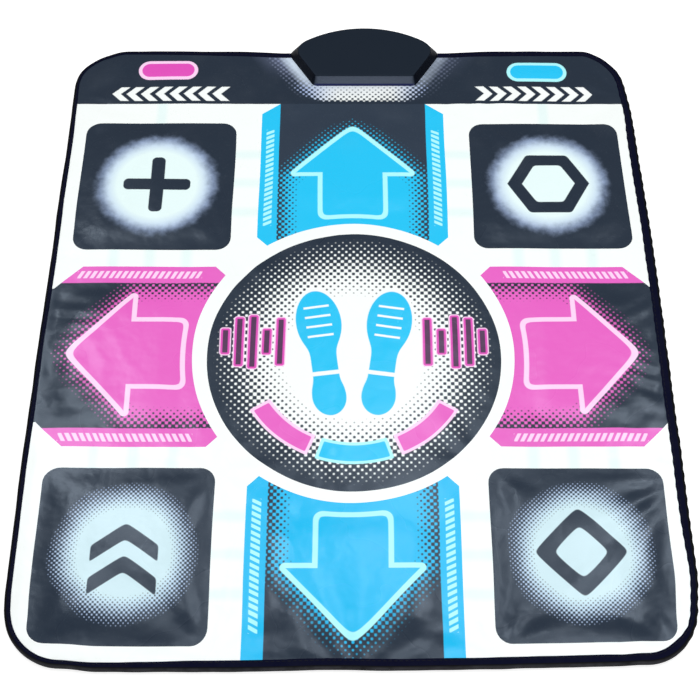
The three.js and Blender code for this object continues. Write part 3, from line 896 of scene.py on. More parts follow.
def rear_print(tree, u, v):
    """The dark band, with a lit row of dots round the housing and chevrons under the buttons."""
    across = abs(u - HOUSING_X)
    ahead = HOUSING_FRONT - v
    behind = v - HOUSING_FRONT
    beside = (across - HOUSING_HALF_FRONT) * FLANK_COS - behind * FLANK_SIN
    near = length(ahead.most(0.0), beside.most(0.0))
    left = (u - HOUSING_X).ramp(40.0, -40.0)
    cloud = textured(tree, 45.0, 3.0)

    row = near * -0.0125 + 0.95
    row = row - across.ramp(56.0, 104.0) * 0.55 - behind.ramp(-4.0, 46.0) * 0.6
    row = row - (u - HOUSING_X).ramp(12.0, 70.0) * 0.22
    row = row.math("ADD", 0.0, clamp=True) * near.ramp(30.0, 26.0)
    dots = halftone(u, v, STRIP_PITCH, row, 2.0)
    lit = paint(tree, GLOW, (WHITE, across.ramp(90.0, 40.0)))
    ink = paint(tree, SLATE, (lit, dots * (1.0 - behind.ramp(-8.0, 40.0) * 0.65)))

    hatch = halftone(u, v, STRIP_PITCH, beside.ramp(34.0, -6.0) * 0.78, 1.3)
    glows = [
        # colour, cover beside the housing, where behind its front, shares by side and by cloud
        (colour(168, 180, 214), hatch, (-26.0, 14.0), 0.3, 0.3, 0.4),
        (colour(150, 160, 196), beside.ramp(52.0, 0.0), (10.0, 52.0), 0.26, 0.16, 0.45),
        (colour(214, 230, 246), beside.ramp(18.0, 5.0), (-8.0, 16.0), 0.55, 0.3, 0.5),
    ]
    for tint, cover, reach, more, both, clear in glows:
        cover = cover * behind.ramp(*reach) * (left * more + both)
        ink = paint(tree, ink, (tint, cover * (cloud + clear)))

    low = abs(v - CHEVRON_LINE)
    arrow = (abs(u) + low) / CHEVRON_PITCH
    chevron = (abs(arrow.math("FRACT") - 0.5) - 0.3) * (CHEVRON_PITCH * math.sqrt(0.5))
    row = (abs(arrow - 13.0) - 4.0) * CHEVRON_PITCH
    return paint(tree, ink, (WHITE, chevron.most(low - 13.0, 1.0).most(row).inked()))


# For each pad: its print and the record's material for it
PAD_PRINTS = {
    "up": (arm_print("up", CYAN, CYAN_PALE, SLATE_PALE), "cyan_print"),
    "down": (arm_print("down", CYAN_DEEP, CYAN_PALE), "cyan_print"),
    "left": (arm_print("left", PINK, PINK_PALE), "pink_print"),
    "right": (arm_print("right", PINK, PINK_PALE), "pink_print"),
    "rear_left": (square_print(plus_symbol, False), "slate_print"),
    "rear_right": (square_print(hexagon_symbol, False), "slate_print"),
    "front_left": (square_print(chevron_symbol, True), "slate_print"),
    "front_right": (square_print(diamond_symbol, True), "slate_print"),
    "button_left": (button_print(PINK_DEEP, PINK_PALE), "pink_print"),
    "button_right": (button_print(CYAN, CYAN_PALE), "cyan_print"),
}


def net_normals(net, heights, faces):
    """The whole cover's upward normals, one for each point of the net."""
    points = np.column_stack([net, heights])
    a, b, c = (points[faces[:, i]] for i in range(3))
    across = np.cross(b - a, c - a)
    normals = np.zeros_like(points)
    for i in range(3):
        np.add.at(normals, faces[:, i], across)
    size = np.linalg.norm(normals, axis=1)
    return normals / np.where(size > 0, size, 1)[:, None]


def lay_map(piece, place, walls, tops):
    """A bake map that gives most of its picture to the printed face."""
    mesh = piece.data
    layer = mesh.uv_layers.new(name="OFBake")
    corner = np.zeros(len(mesh.loops), int)
    mesh.loops.foreach_get("vertex_index", corner)
    uv = place[corner]
    first_under, first_wall = 3 * tops, 6 * tops
    uv[:, 1] *= 0.93
    uv[first_under:first_wall, 1] = 0.945 + 0.02 * place[corner[first_under:first_wall], 1]
    for i in range(walls):
        at = first_wall + 4 * i
        left, right = i / walls, (i + 0.8) / walls
        uv[at : at + 4] = [(right, 0.975), (left, 0.975), (left, 0.995), (right, 0.995)]
    layer.data.foreach_set("uv", uv.ravel())


def cover_piece(name, surface, faces, place, materials, slots=None):
    """A closed piece of the cover: its top faces, a flat underside and the walls between."""
    net, heights, normals = surface
    used = np.unique(faces)
    index = np.full(len(net), -1)
    index[used] = np.arange(len(used))
    top = index[faces]
    count = len(used)
    x, y = net[used].T
    dx, dy = drift(x, y)
    upper = np.column_stack([x + dx, y + dy, heights[used]])
    lower = np.column_stack([x + dx, y + dy, np.full(count, COVER_BOTTOM)])
    vertices = np.concatenate([upper, lower])
    sides = np.concatenate([top[:, [0, 1]], top[:, [1, 2]], top[:, [2, 0]]])
    present = set(map(tuple, sides.tolist()))
    rim = [(a, b) for a, b in present if (b, a) not in present]
    walls = [(b, a, a + count, b + count) for a, b in sorted(rim)]
    under = (top[:, ::-1] + count).tolist()
    every_face = top.tolist() + under + walls
    piece = new_object(name, vertices, every_face, materials, len(under) + len(walls))
    if slots is not None:
        every = np.concatenate([slots, slots, np.zeros(len(walls), int)])
        piece.data.polygons.foreach_set("material_index", every.astype(np.int32))

    u, v = place.local(x, y)
    coordinates = np.zeros((2 * count, 3), np.float32)
    coordinates[:count, :2] = coordinates[count:, :2] = np.column_stack([u, v])
    attribute = piece.data.attributes.new("print", "FLOAT_VECTOR", "POINT")
    attribute.data.foreach_set("vector", coordinates.ravel())
    share = np.column_stack([(x - x.min()) / np.ptp(x), (y - y.min()) / np.ptp(y)])
    lay_map(piece, np.concatenate([share, share]), len(walls), len(top))

    shading = np.zeros((len(piece.data.loops), 3))
    shading[: 3 * len(top)] = normals[used][top.ravel()]
    piece.data.normals_split_custom_set(shading.tolist())

    return piece, vertices, sorted({i for edge in rim for i in edge})


def make_cover():
    net, faces, centres = cover_triangles()
    heights = COVER_TOP + zone_pillow(*net.T) + border_calm(*net.T) * wrinkle_height(*net.T)
    surface = net, heights, net_normals(net, heights, faces)
    taken = np.zeros(len(faces), bool)
    for zone in ZONES:
        mine = inside(centres, OUTLINES[zone]) & ~taken
        taken |= mine
        printed, slot = PAD_PRINTS[zone]
        prints = [vinyl(zone + "_print", printed)]
        name = zone + "_cover"
        piece, vertices, rim = cover_piece(name, surface, faces[mine], PLACES[zone], prints)
        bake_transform(piece)
        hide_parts(zone + "_pad")
    disc = inside(centres, OUTLINES["disc"])
    rear = ~taken & ~disc & (centres[:, 1] > BAND_LINE)
    front = ~taken & ~rear
    prints = [vinyl("field_print", field_print), vinyl("disc_print", disc_print)]
    kept = disc[front].astype(int)
    field, *_ = cover_piece("field_cover", surface, faces[front], Place(), prints, kept)
    settle(field, "cover_sheet")
    prints = [vinyl("rear_print", rear_print)]
    band, *_ = cover_piece("rear_cover", surface, faces[rear], Place(), prints)
    settle(band, "cover_sheet")


def apply_modifiers(piece):
    shown = piece.evaluated_get(bpy.context.evaluated_depsgraph_get())
    mesh = bpy.data.meshes.new_from_object(shown)
    piece.modifiers.clear()
    piece.data = mesh


def combine(piece, other, operation):
    """Joins another closed piece to this one, or cuts it away, and removes the other."""
    modifier = piece.modifiers.new("combine", "BOOLEAN")
    modifier.operation, modifier.object, modifier.solver = operation, other, "EXACT"
    apply_modifiers(piece)
    bpy.data.objects.remove(other)


def close_rings(rings):
    """Faces between rings of equal count, each one list of points, closed at both ends."""
    count = len(rings[0])
    faces = []
    for r in range(len(rings) - 1):
        for i in range(count):
            j = (i + 1) % count
            a, b = r * count, (r + 1) * count
            faces.append((a + i, a + j, b + j, b + i))
    last = (len(rings) - 1) * count
    faces.append(tuple(range(count))[::-1])
    faces.append(tuple(range(last, last + count)))
    return [p for ring in rings for p in ring], faces


def lofted(name, rings, materials=()):
    return new_object(name, *close_rings(rings), materials)


def at_height(points, z):
    return [(*p, z) for p in points]


def rod(name, x, y, radius, low, high):
    return lofted(name, [at_height(circle(radius, 24, x, y), z) for z in (low, high)])


def block(name, low, high):
    corners = [(low[0], low[1]), (high[0], low[1]), (high[0], high[1]), (low[0], high[1])]
    return lofted(name, [at_height(corners, z) for z in (low[2], high[2])])


def move(mesh, shift):
    """Moves each vertex by what shift gives for its place, in metres."""
    place = np.zeros(3 * len(mesh.vertices))
    mesh.vertices.foreach_get("co", place)
    place = place.reshape(-1, 3)
    mesh.vertices.foreach_set("co", (place + shift(place)).ravel())


def stray(place):
    dx, dy = drift(place[:, 0] / MM, place[:, 1] / MM)
    return np.column_stack([dx, dy, np.zeros(len(dx))]) * MM


# Controller housing
CROWN_RISE = HOUSING_CROWN - HOUSING_SHOULDER
CROWN_RADIUS = (HOUSING_HALF**2 + CROWN_RISE**2) / (2 * CROWN_RISE)
CROWN_CENTRE = HOUSING_CROWN - CROWN_RADIUS
HOUSING_FOOT = COVER_TOP + 0.02
DRAFT = 5.5
HOUSING_EDGE = 2.2
WALL = 2.2
DECK_RISE = 0.3


def bend(before, corner, after, count):
    """A rounded corner, as a quadratic curve."""
    t = np.linspace(0, 1, count + 1)[:, None]
    before, corner, after = map(np.array, (before, corner, after))
    return ((1 - t) ** 2 * before + 2 * t * (1 - t) * corner + t**2 * after).tolist()


def straight(start, end, count):
    t = np.linspace(0, 1, count + 1)[1:-1, None]
    return (np.array(start) * (1 - t) + np.array(end) * t).tolist()


def housing_outline(inset):
    """The footprint drawn in by an inset, as equally many points for every inset."""
    front_cut, shoulder_cut = 6.0, 13 + 1.8 * inset
    flank = np.array([FLANK_SIN, FLANK_COS])
    start_x, start_y = HOUSING_HALF_FRONT - FLANK_COS * inset, HOUSING_FRONT + FLANK_SIN * inset
    start = np.array([start_x, start_y])
    front = start + flank * (HOUSING_FRONT + inset - start_y) / FLANK_COS
    radius = CROWN_RADIUS - inset
    from_centre = start - np.array([0, CROWN_CENTRE])
    half = from_centre @ flank
    shoulder = start + flank * (-half + math.sqrt(half**2 - from_centre @ from_centre + radius**2))
    turn = math.atan2(shoulder[1] - CROWN_CENTRE, shoulder[0]) + shoulder_cut / radius

    def crown(angle):
        return [radius * math.cos(angle), CROWN_CENTRE + radius * math.sin(angle)]

    corner = bend(front - np.array([front_cut, 0]), front, front + flank * front_cut, 6)
    rear = bend(shoulder - flank * shoulder_cut, shoulder, crown(turn), 8)
    right = straight([0, front[1]], corner[0], 16) + corner + straight(corner[-1], rear[0], 14)
    right += rear + [crown(a) for a in np.linspace(turn, QUARTER, 26)[1:-1]]
    left = [(-x, y) for x, y in reversed(right)]
    whole = [(0, front[1]), *right, crown(QUARTER), *left]
    return [(x + HOUSING_X, y) for x, y in whole]


def housing_ring(inset, z):
    return at_height(housing_outline(inset), z)


def shell_rings(inset, foot, top, edge):
    rings = [housing_ring(inset, foot)]
    if foot < COVER_TOP:
        rings.append(housing_ring(inset, COVER_TOP))
    for t in (0.33, 0.67):
        rings.append(housing_ring(inset + t * DRAFT, COVER_TOP + t * (top - edge - COVER_TOP)))
    for i in range(6):
        turn = QUARTER * i / 5
        drawn = inset + DRAFT + edge * (1 - math.cos(turn))
        rings.append(housing_ring(drawn, top - edge * (1 - math.sin(turn))))
    return rings


def deck_rings(edge_ring, rise):
    """Rings from the rounded edge to the middle of the deck, which is slightly crowned."""
    middle = np.array([HOUSING_X, (HOUSING_FRONT + HOUSING_CROWN) / 2 + 4])
    points = np.array(edge_ring)
    rings = []
    for share in (0.93, 0.85, 0.7, 0.55, 0.4, 0.25, 0.1):
        plan = middle + (points[:, :2] - middle) * share
        z = points[:, 2] + rise * (1 - share**2)
        rings.append(np.column_stack([plan, z]).tolist())
    return rings


FRONT_SCREW = (58, 471)
REAR_SCREW = (84, 524)
SCREW_PLACES = {
    end + "_" + side: (HOUSING_X + way * x, y)
    for end, (x, y) in (("front", FRONT_SCREW), ("rear", REAR_SCREW))
    for side, way in (("left", -1), ("right", 1))
}
BOSS_RADIUS = 3.6
PILOT_RADIUS = 1.7
PILOT_DEPTH = 6.3
GLAND_Z = 16.5
GLAND_SEAT = HOUSING_CROWN - 5
GLAND_WALL = 3
GLAND_POCKET_HALF = 9
GLAND_HOLE_RADIUS = 4
GLAND_FLANGE_RADIUS = 5.2


def tube_y(name, radius, low, high):
    """A round bar along Y through the gland's middle."""
    ring = circle(radius, 32)
    return lofted(name, [[(HOUSING_X + v, y, GLAND_Z + u) for u, v in ring] for y in (low, high)])


def casing(name):
    """Moulded plastic, with painted light: a painted highlight where it faces the front, painted
    shade at the sides and a painted blue shadow line at the foot.
    """

    def base(tree):
        across, ahead, _ = axes(tree, "Normal")
        height = axes(tree, "Object")[2]
        # Painted highlight on front faces, painted shade on the sides and a painted shadow line
        # along the foot of the front
        side_shade = abs(across).ramp(0.35, 0.7)
        front_highlight = (ahead * -1.0).ramp(0.75, 0.93)
        foot = height.ramp((COVER_TOP + 4.4) * MM, (COVER_TOP + 2.4) * MM)
        layers = (CASE_SIDE_SHADE, side_shade), (CASE_FRONT_HIGHLIGHT, front_highlight), (CASE_FOOT_SHADOW, front_highlight * foot)
        return paint(tree, CASE, *layers)

    relief = [(noisy(26.0, 1.0), 0.0003), (noisy(900.0), 0.00004)]
    return new_material(name, base, (0.44, 0.52, 30.0), relief, REFLECTED, gloss=0.12)


def make_upper_housing():
    top = HOUSING_HIGH.z
    under_roof = top - 1.4
    outer = shell_rings(0, HOUSING_FOOT, top - DECK_RISE, HOUSING_EDGE)
    piece = lofted("housing_top", outer + deck_rings(outer[-1], DECK_RISE), [casing("casing")])
    inner = shell_rings(WALL, COVER_TOP - 6, top - WALL, HOUSING_EDGE)
    combine(piece, lofted("hollow", inner), "DIFFERENCE")
    for x, y in SCREW_PLACES.values():
        combine(piece, rod("boss", x, y, BOSS_RADIUS, HOUSING_FOOT, under_roof), "UNION")
    half = GLAND_POCKET_HALF + GLAND_WALL
    low = (HOUSING_X - half, GLAND_SEAT - GLAND_WALL, HOUSING_FOOT)
    high = (HOUSING_X + half, HOUSING_CROWN, under_roof)
    seat = block("seat", low, high)
    outside = shell_rings(0.3, COVER_TOP - 1, top - 1, HOUSING_EDGE)
    combine(seat, lofted("outside", outside), "INTERSECT")
    combine(piece, seat, "UNION")
    half, tall = GLAND_POCKET_HALF, GLAND_FLANGE_RADIUS
    low = (HOUSING_X - half, GLAND_SEAT, GLAND_Z - tall)
    high = (HOUSING_X + half, HOUSING_CROWN + 5, GLAND_Z + tall)
    combine(piece, block("pocket", low, high), "DIFFERENCE")
    hole = tube_y("hole", GLAND_HOLE_RADIUS, GLAND_SEAT - GLAND_WALL - 5, GLAND_SEAT + 5)
    combine(piece, hole, "DIFFERENCE")
    for x, y in SCREW_PLACES.values():
        pilot = rod("pilot", x, y, PILOT_RADIUS, COVER_TOP - 5, COVER_TOP + PILOT_DEPTH)
        combine(piece, pilot, "DIFFERENCE")
    piece.data.shade_smooth()
    sharpen(piece)
    settle(piece, "upper_housing")


# Edge binding: tape folded over the rim, with laps above and below and a rolled edge
RIM_STEP = 3.0
TAPE_SWELL = 0.45
TAPE_RIPPLE = 0.55
TAPE_RIPPLE_SIZE = 34
SCALLOP = 0.5
SCALLOP_LENGTH = 16
STITCH_START = 8
STITCH_PITCH = 6.5
STITCH_LENGTH = 4.6
STITCH_INSET = 2.6
THREAD_RADIUS = 0.42


def rim_path():
    """The mat's outline from the housing's right flank round to its left, evenly stepped."""
    loop = np.array(stepped(mat_outline(), RIM_STEP))
    turn = int(np.argmin(np.hypot(loop[:, 0] - HOUSING_X, loop[:, 1] - REAR)))
    loop = np.roll(loop, -turn, axis=0)[::-1]
    away = np.abs(loop[:, 0] - HOUSING_X)
    path = loop[(loop[:, 1] < REAR - 0.01) | (away > HOUSING_HALF + 2)]
    return path + np.stack(drift(*path.T), axis=1)


def rim_frame(path):
    """At each point of the rim: its inward direction and its distance along the rim."""
    ahead = np.gradient(path, axis=0)
    ahead /= np.linalg.norm(ahead, axis=1)[:, None]
    inward = np.stack([ahead[:, 1], -ahead[:, 0]], axis=1)
    inward *= np.sign(np.sum(inward * (np.array([0, MIDDLE_Y]) - path), axis=1))[:, None]
    run = np.concatenate([[0], np.cumsum(np.linalg.norm(np.diff(path, axis=0), axis=1))])
    return inward, run


def binding_profile():
    """The tape's section, from the upper lap to the lower, as (inset from the rim, height)."""
    roll, lap, top = ROLL_RADIUS, LAP_WIDTH, BINDING_TOP
    upper = [(lap, top - 0.85), (lap - 0.4, top - 0.3), (lap - 1.2, top - 0.12), (6.5, top - 0.3)]
    turns = np.linspace(0, QUARTER, 7)
    upper += [(roll - roll * math.sin(a), top - roll + roll * math.cos(a)) for a in turns]
    lower = [(i, top - z) for i, z in reversed(upper)]
    inner = [(lap, 0.9), (LAP_START, 0.95), (1.2, 1.2)]
    inner += [(1.2, top - 1.2), (LAP_START, top - 0.95), (lap, top - 0.95)]
    return upper + lower + inner


def lap_width(x, y):
    """The upper lap's width, which narrows toward the rear, the left and the right side's front."""
    left, right = float(smooth(-x, 100, 400)), float(smooth(x, 330, 400))
    rear, front = float(smooth(y, 330, 500)), float(smooth(-y, 190, 310) - smooth(-y, 365, 400))
    return UPPER_LAP - 4.0 * left + right * (0.5 - 3.4 * front - 0.8 * rear) - 1.8 * rear


def make_stitches(path, inward, run):
    """Two rows of thread, one on each lap: short rounded stitches that dip at both ends."""
    half = STITCH_LENGTH / 2
    # Along a stitch: place, rise and thickness
    rising = [(-half, 0.05, 0.2), (-half * 0.75, 0.26, 0.75), (0, 0.34, 1.0)]
    sections = rising + [(-along, rise, swell) for along, rise, swell in rising[1::-1]]
    section = circle(THREAD_RADIUS, 6)
    vertices, faces = [], []
    for i in range(int((run[-1] - 12) / STITCH_PITCH)):
        at = STITCH_START + i * STITCH_PITCH
        p = int(np.searchsorted(run, at)) - 1
        share = (at - run[p]) / (run[p + 1] - run[p])
        x, y = path[p] * (1 - share) + path[p + 1] * share
        inner = inward[p] * (1 - share) + inward[p + 1] * share
        ahead = np.array([-inner[1], inner[0]])
        for lap, level, up in ((lap_width(x, y), BINDING_TOP - 0.18, 1), (LAP_WIDTH, 0.42, -1)):
            rings = []
            for along, rise, swell in sections:
                middle = np.array([x, y]) + inner * (lap - STITCH_INSET) + ahead * along
                ring = []
                for side, lift in section:
                    z = level + up * (rise * 0.5 + swell * lift * 0.6)
                    ring.append((*(middle + inner * swell * side), max(z, 0.0)))
                rings.append(ring)
            points, sides = close_rings(rings)
            faces += [tuple(len(vertices) + i for i in side) for side in sides]
            vertices += points
    thread = tape_material("thread", colour(30, 31, 36))
    piece = new_object("binding_stitches", vertices, faces, [thread])
    outward_faces(piece)
    settle(piece)


def make_binding():
    path = rim_path()
    inward, run = rim_frame(path)
    profile = binding_profile()
    ripple = TAPE_RIPPLE * noise_at(*path.T, TAPE_RIPPLE_SIZE, 2.2)
    right_side = smooth(path[:, 0], 380, 405)
    ripple = ripple + SCALLOP * right_side * np.cos(run * 2 * math.pi / SCALLOP_LENGTH)
    swell = ripple + TAPE_SWELL + TAPE_SWELL * right_side
    calm = smooth(np.minimum(run, run[-1] - run), 2, 30)
    rings = []
    for p, (x, y) in enumerate(path):
        lap = lap_width(x, y) + 0.7 * ripple[p]
        ring = []
        for inset, height in profile:
            outward = max(0.0, 1 - inset / BULGE_REACH)
            if inset > LAP_START and height > COVER_TOP / 2:
                stretch = (lap - LAP_START) / (LAP_WIDTH - LAP_START)
                inset = LAP_START + (inset - LAP_START) * stretch
            ring.append((*(path[p] + inward[p] * (inset - calm[p] * swell[p] * outward)), height))
        rings.append(ring)
    flank_x, flank_y = np.array([p for p in housing_outline(-0.1) if p[0] > HOUSING_X]).T
    rising = np.maximum.accumulate(flank_y) == flank_y
    for end, side in ((0, 1), (-1, -1)):
        _, y, z = np.transpose(rings[end])
        half = np.interp(y, flank_y[rising], flank_x[rising]) - HOUSING_X
        rings[end] = list(zip(HOUSING_X + side * half, y, z))
    tapes = [tape_material("binding", TAPE, TAPE_FRONT_SHEEN), tape_material("binding_lap", LAP_SHADE)]
    piece = lofted("binding_tape", rings, tapes)
    # The upper lap's faces take the navy painted shade
    for r in range(len(path) - 1):
        for i in range(4):
            piece.data.polygons[r * len(profile) + i].material_index = 1
    outward_faces(piece)
    sharpen(piece, math.radians(50))
    settle(piece, "edge_binding")
    make_stitches(path, inward, run)


def outward_faces(piece):
    work = bmesh.new()
    work.from_mesh(piece.data)
    bmesh.ops.recalc_face_normals(work, faces=work.faces)
    work.to_mesh(piece.data)
    work.free()


def tape_material(name, base, front=None):
    """Coarse tape. front is a painted sheen colour, laid in cloudy patches where the tape faces the
    front.
    """

    def wear_and_sheen(tree):
        # A painted sheen on front faces, in cloudy patches
        front_sheen_mask = (axes(tree, "Normal")[1] * -1.0).ramp(0.15, 0.7)
        cloud = textured(tree, 60.0, 4.0)
        return paint(tree, base, (front or base, front_sheen_mask * cloud.ramp(0.2, 0.6)))

    relief = [(noisy(90.0), 0.0008), (noisy(1400.0), 0.0001)]
    return new_material(name, wear_and_sheen, (0.55, 0.75, 60.0), relief, gloss=0.06)


# Backing cloth and foams
BACKING_FACES = (0.05, 0.95)
GRIP_TURN = math.pi / 3.5


def grip_cloth(name):
    """Dark cloth with a weave and rows of small grip dots."""

    def plan(tree):
        x, y, _ = axes(tree, "Object")
        return x * 1000.0, y * 1000.0

    def dots(tree):
        x, y = plan(tree)
        row = (x * GRIP_TURN).math("COSINE") + (y * GRIP_TURN).math("COSINE")
        return row.ramp(0.7, 1.3)

    def weave(tree):
        x, y = plan(tree)
        warp, weft = (x * 6.3).math("SINE"), (y * 6.3).math("SINE")
        return abs(warp.most(weft))

    def base(tree):
        cloud = textured(tree, 18.0, 4.0)
        patches = (colour(54, 56, 60), cloud.ramp(0.4, 0.75))
        return paint(tree, colour(40, 42, 47), patches, (colour(24, 25, 28), dots(tree)))

    return new_material(name, base, (0.6, 0.8, 50.0), [(weave, 0.0001), (dots, 0.0004)])


def make_backing():
    path = rim_path()
    inward, _ = rim_frame(path)
    loop = path + inward * (LAP_WIDTH + 0.1)
    rings = [at_height(loop, z) for z in BACKING_FACES]
    piece = lofted("backing_cloth", rings, [grip_cloth("backing")])
    cutter = lofted("opening", [housing_ring(-0.06, -3), housing_ring(-0.06, 4)])
    combine(piece, cutter, "DIFFERENCE")
    settle(piece, "anti_slip_backing")


def foam(name):
    def cells(tree):
        return textured(tree, 900.0, kind="ShaderNodeTexVoronoi")

    def base(tree):
        # The cell hollows are darkened by painted shade
        hollow_shade = (colour(176, 180, 184), cells(tree).ramp(0.2, 0.6) * 0.5)
        return paint(tree, colour(222, 226, 228), hollow_shade)

    return new_material(name, base, (0.7, 0.85, 40.0), [(cells, 0.0002)], sheen=0.2)


def soft_copy(node, name, material, rounding):
    """A piece on a CAD node's form that strays with the mat and has rounded edges."""
    mesh = bpy.data.objects[node].data.copy()
    piece = add(name, mesh)
    move(mesh, stray)
    mesh.materials.clear()
    mesh.materials.append(material)
    soften(piece, rounding)
    apply_modifiers(piece)
    settle(piece, node)
    return piece


def soften(piece, rounding):
    """Joined vertices and rounded edges, by modifiers, which leave the mesh itself alone."""
    weld = piece.modifiers.new("weld", "WELD")
    weld.merge_threshold = 0.00001
    bevel = piece.modifiers.new("bevel", "BEVEL")
    bevel.width, bevel.segments = rounding * MM, 2
    bevel.limit_method, bevel.angle_limit = "ANGLE", math.radians(40)
    bevel.harden_normals = True


# Rounding of the foams', cushions' and films' edges
FOAM_EDGE = 0.3
CUSHION_EDGE = 0.25
FILM_EDGE = 0.05


def make_foams():
    material = foam("foam")
    for node, name in (("base_foam", "base_padding"), ("spacer_foam", "spacer_frame")):
        piece = soft_copy(node, name, material, FOAM_EDGE)
    for zone in ZONES:
        piece = soft_copy(zone + "_spacer", zone + "_cushion", material, CUSHION_EDGE)
        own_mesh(piece)


# Screws, as head radius, head rise and thread radius
HOUSING_SCREW = (2.8, 1.3, 1.4)
CLAMP_SCREW = (2.0, 1.2, 1.0)
THREAD_PITCH = 0.8


def make_screw(node, form, step, material):
    """A screw with a rounded head, a cross recess and a coarse thread, on its CAD node's axis.
    step is 1 for a head that looks down and -1 for one that looks up."""
    head_radius, head_rise, radius = form
    low, high = span(node)
    middle = (low + high) / 2
    start, end = (low.z, high.z)[::step]
    under = start + step * head_rise
    soft = 0.3 * head_rise
    profile = [
        (0.4, start),
        (head_radius - 2 * soft, start),
        (head_radius - 0.6 * soft, start + step * 0.4 * soft),
        (head_radius, start + step * 1.5 * soft),
        (head_radius, under),
        (radius, under + step * 0.05),
    ]
    for i in range(int((abs(end - under) - 1.2) / THREAD_PITCH)):
        at = under + step * (0.5 + i * THREAD_PITCH)
        profile += [(0.78 * radius, at), (radius, at + step * THREAD_PITCH / 2)]
    profile += [(0.7 * radius, end - step * 0.5), (0.25 * radius, end)]
    piece = lofted(node + "_turned", [at_height(circle(r, 28), z) for r, z in profile], [material])
    outward_faces(piece)
    arm, half, depth = 0.62 * head_radius, 0.16 * head_radius, 0.7 * head_rise
    deep = sorted((start - step * 1.0, start + step * depth))
    for half_x, half_y in ((arm, half), (half, arm)):
        cutter = block("recess", (-half_x, -half_y, deep[0]), (half_x, half_y, deep[1]))
        outward_faces(cutter)
        combine(piece, cutter, "DIFFERENCE")
    move(piece.data, lambda place: np.array([middle.x, middle.y, 0]) * MM)
    piece.data.shade_smooth()
    sharpen(piece)
    settle(piece, node)


def make_screws():
    steel = STEEL("screw_steel")
    for name in SCREW_PLACES:
        make_screw("housing_screw_" + name, HOUSING_SCREW, 1, steel)
    for side in ("left", "right"):
        make_screw("clamp_screw_" + side, CLAMP_SCREW, -1, steel)


def plain(base, low, high, depth=0.00003, scale=700.0, metallic=0.0):
    """A material maker for a solid colour with fine grain and a patchy gloss."""

    def make(name):
        def mottled(tree):
            darker = tuple(0.8 * c for c in base[:3]) + (1.0,)
            cloud = textured(tree, 45.0, 3.0)
            return paint(tree, base, (darker, cloud.ramp(0.4, 0.7)))

        relief = [(noisy(scale), depth)]
        return new_material(name, mottled, (low, high, 60.0), relief, metallic=metallic)

    return make


FILM = plain(colour(214, 226, 230), 0.2, 0.3)
INK = plain(colour(150, 154, 158), 0.45, 0.6)
CARBON = plain(colour(42, 43, 46), 0.5, 0.65)
STEEL = plain(colour(176, 180, 184), 0.28, 0.4, 0.00002, 1500.0, 1.0)
RUBBER = plain(colour(18, 18, 20), 0.55, 0.7)
BOARD = plain(colour(30, 106, 58), 0.3, 0.42)
CHIP = plain(colour(22, 22, 24), 0.5, 0.6)
CONNECTOR = plain(colour(232, 226, 210), 0.35, 0.5)
CAD_FINISHES = {
    "lower_housing": (casing, 0.35),
    "clamp_bar": (casing, 0.3),
    "cable_gland": (RUBBER, 0.3),
    "contact_strip": (RUBBER, 0.2),
    "circuit_board": (BOARD, 0.1),
    "controller_chip": (CHIP, 0.15),
    "cord_connector": (CONNECTOR, 0.25),
    "lower_circuit": (INK, 0.04),
}
CAD_FINISHES.update({zone + "_contact": (CARBON, 0.1) for zone in ZONES})


def make_films():
    material = FILM("film")
    for node, below in (("lower_film", "base_foam"), ("upper_film", "spacer_foam")):
        piece = soft_copy(node, node + "_sheet", material, FILM_EDGE)


def finish_nodes():
    """Materials and rounded edges for the CAD nodes that stay as they are."""
    made = {}
    for node, (maker, rounding) in CAD_FINISHES.items():
        key = (maker, node) if maker is casing else maker
        if key not in made:
            made[key] = maker(node + "_finish")
        piece = bpy.data.objects[node]
        for slot in piece.material_slots:
            slot.link = "OBJECT"
            slot.material = made[key]
        soften(piece, rounding)


make_cover()
make_upper_housing()
make_binding()
make_backing()
make_foams()
make_films()
make_screws()
finish_nodes()


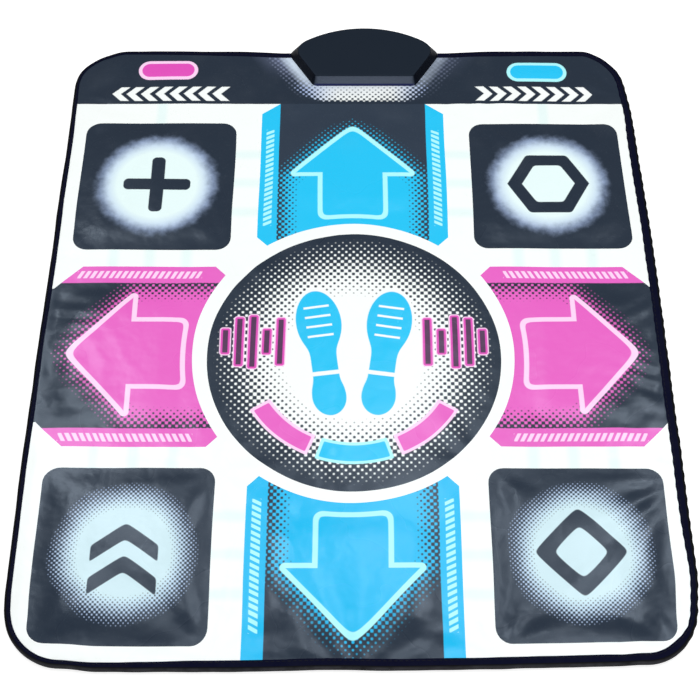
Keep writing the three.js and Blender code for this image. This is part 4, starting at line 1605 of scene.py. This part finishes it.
# Stage: floor, lamps, world and camera
FLOOR_HEIGHT = -0.0004
CAMERA_PLACE = (-0.0037, -0.8602, 1.5502)
CAMERA_TILT = 29.38
LENS = 69.26
LAMPS = [
    # name, place, aim, width, length, watts
    ("left_strip", (-0.8, 0.75, 1.95), (-0.25, 0, 0), 0.12, 1.1, 8),
    ("middle_strip", (0.12, 0.55, 2.1), (0, 0, 0), 0.1, 0.9, 5),
    ("right_strip", (0.95, 0.55, 2.0), (0.3, -0.1, 0), 0.12, 1.1, 8),
    ("front_fill", (0.3, -1.9, 1.7), (0, 0, 0), 1.6, 1.0, 12.5),
]


def make_floor():
    reach = 6.0
    corners = [(-reach, -reach, 0), (reach, -reach, 0), (reach, reach, 0), (-reach, reach, 0)]
    mesh = bpy.data.meshes.new("floor")
    mesh.from_pydata(corners, [], [(0, 1, 2, 3)])
    floor = add("floor", mesh)
    floor.location.z = FLOOR_HEIGHT
    material, tree, shader = shaded("floor")
    fill(shader, {"Base Color": (0.9, 0.9, 0.9, 1), "Roughness": 0.9, "Specular IOR Level": 0.1})
    fill(shader, {"Emission Color": (1, 1, 1, 1)})
    feed(tree, shader.inputs["Emission Strength"], ray(tree, "Is Camera Ray") * 0.5)
    mesh.materials.append(material)


def make_world():
    world = bpy.data.worlds.new("world")
    bpy.context.scene.world = world
    world.use_nodes = True
    tree = world.node_tree
    background = tree.nodes["Background"]
    fill(background, {"Color": (1, 1, 1, 1)})
    ambient = ray(tree, "Is Glossy Ray") * -0.36 + 0.58
    feed(tree, background.inputs["Strength"], ambient.most(ray(tree, "Is Camera Ray")))


def make_lamps():
    for name, place, aim, width, run, watts in LAMPS:
        lamp = bpy.data.lights.new(name, "AREA")
        lamp.shape, lamp.size, lamp.size_y, lamp.energy = "RECTANGLE", width, run, watts
        holder = add(name, lamp)
        holder.location = place
        holder.rotation_euler = (Vector(aim) - Vector(place)).to_track_quat("-Z", "Y").to_euler()


def make_camera():
    lens = bpy.data.cameras.new("camera")
    lens.sensor_width, lens.lens = 36, LENS
    camera = add("camera", lens)
    camera.location = CAMERA_PLACE
    camera.rotation_euler = (math.radians(CAMERA_TILT), 0, 0)
    bpy.context.scene.camera = camera
    bpy.context.scene.view_settings.view_transform = "Standard"


make_floor()
make_world()
make_lamps()
make_camera()
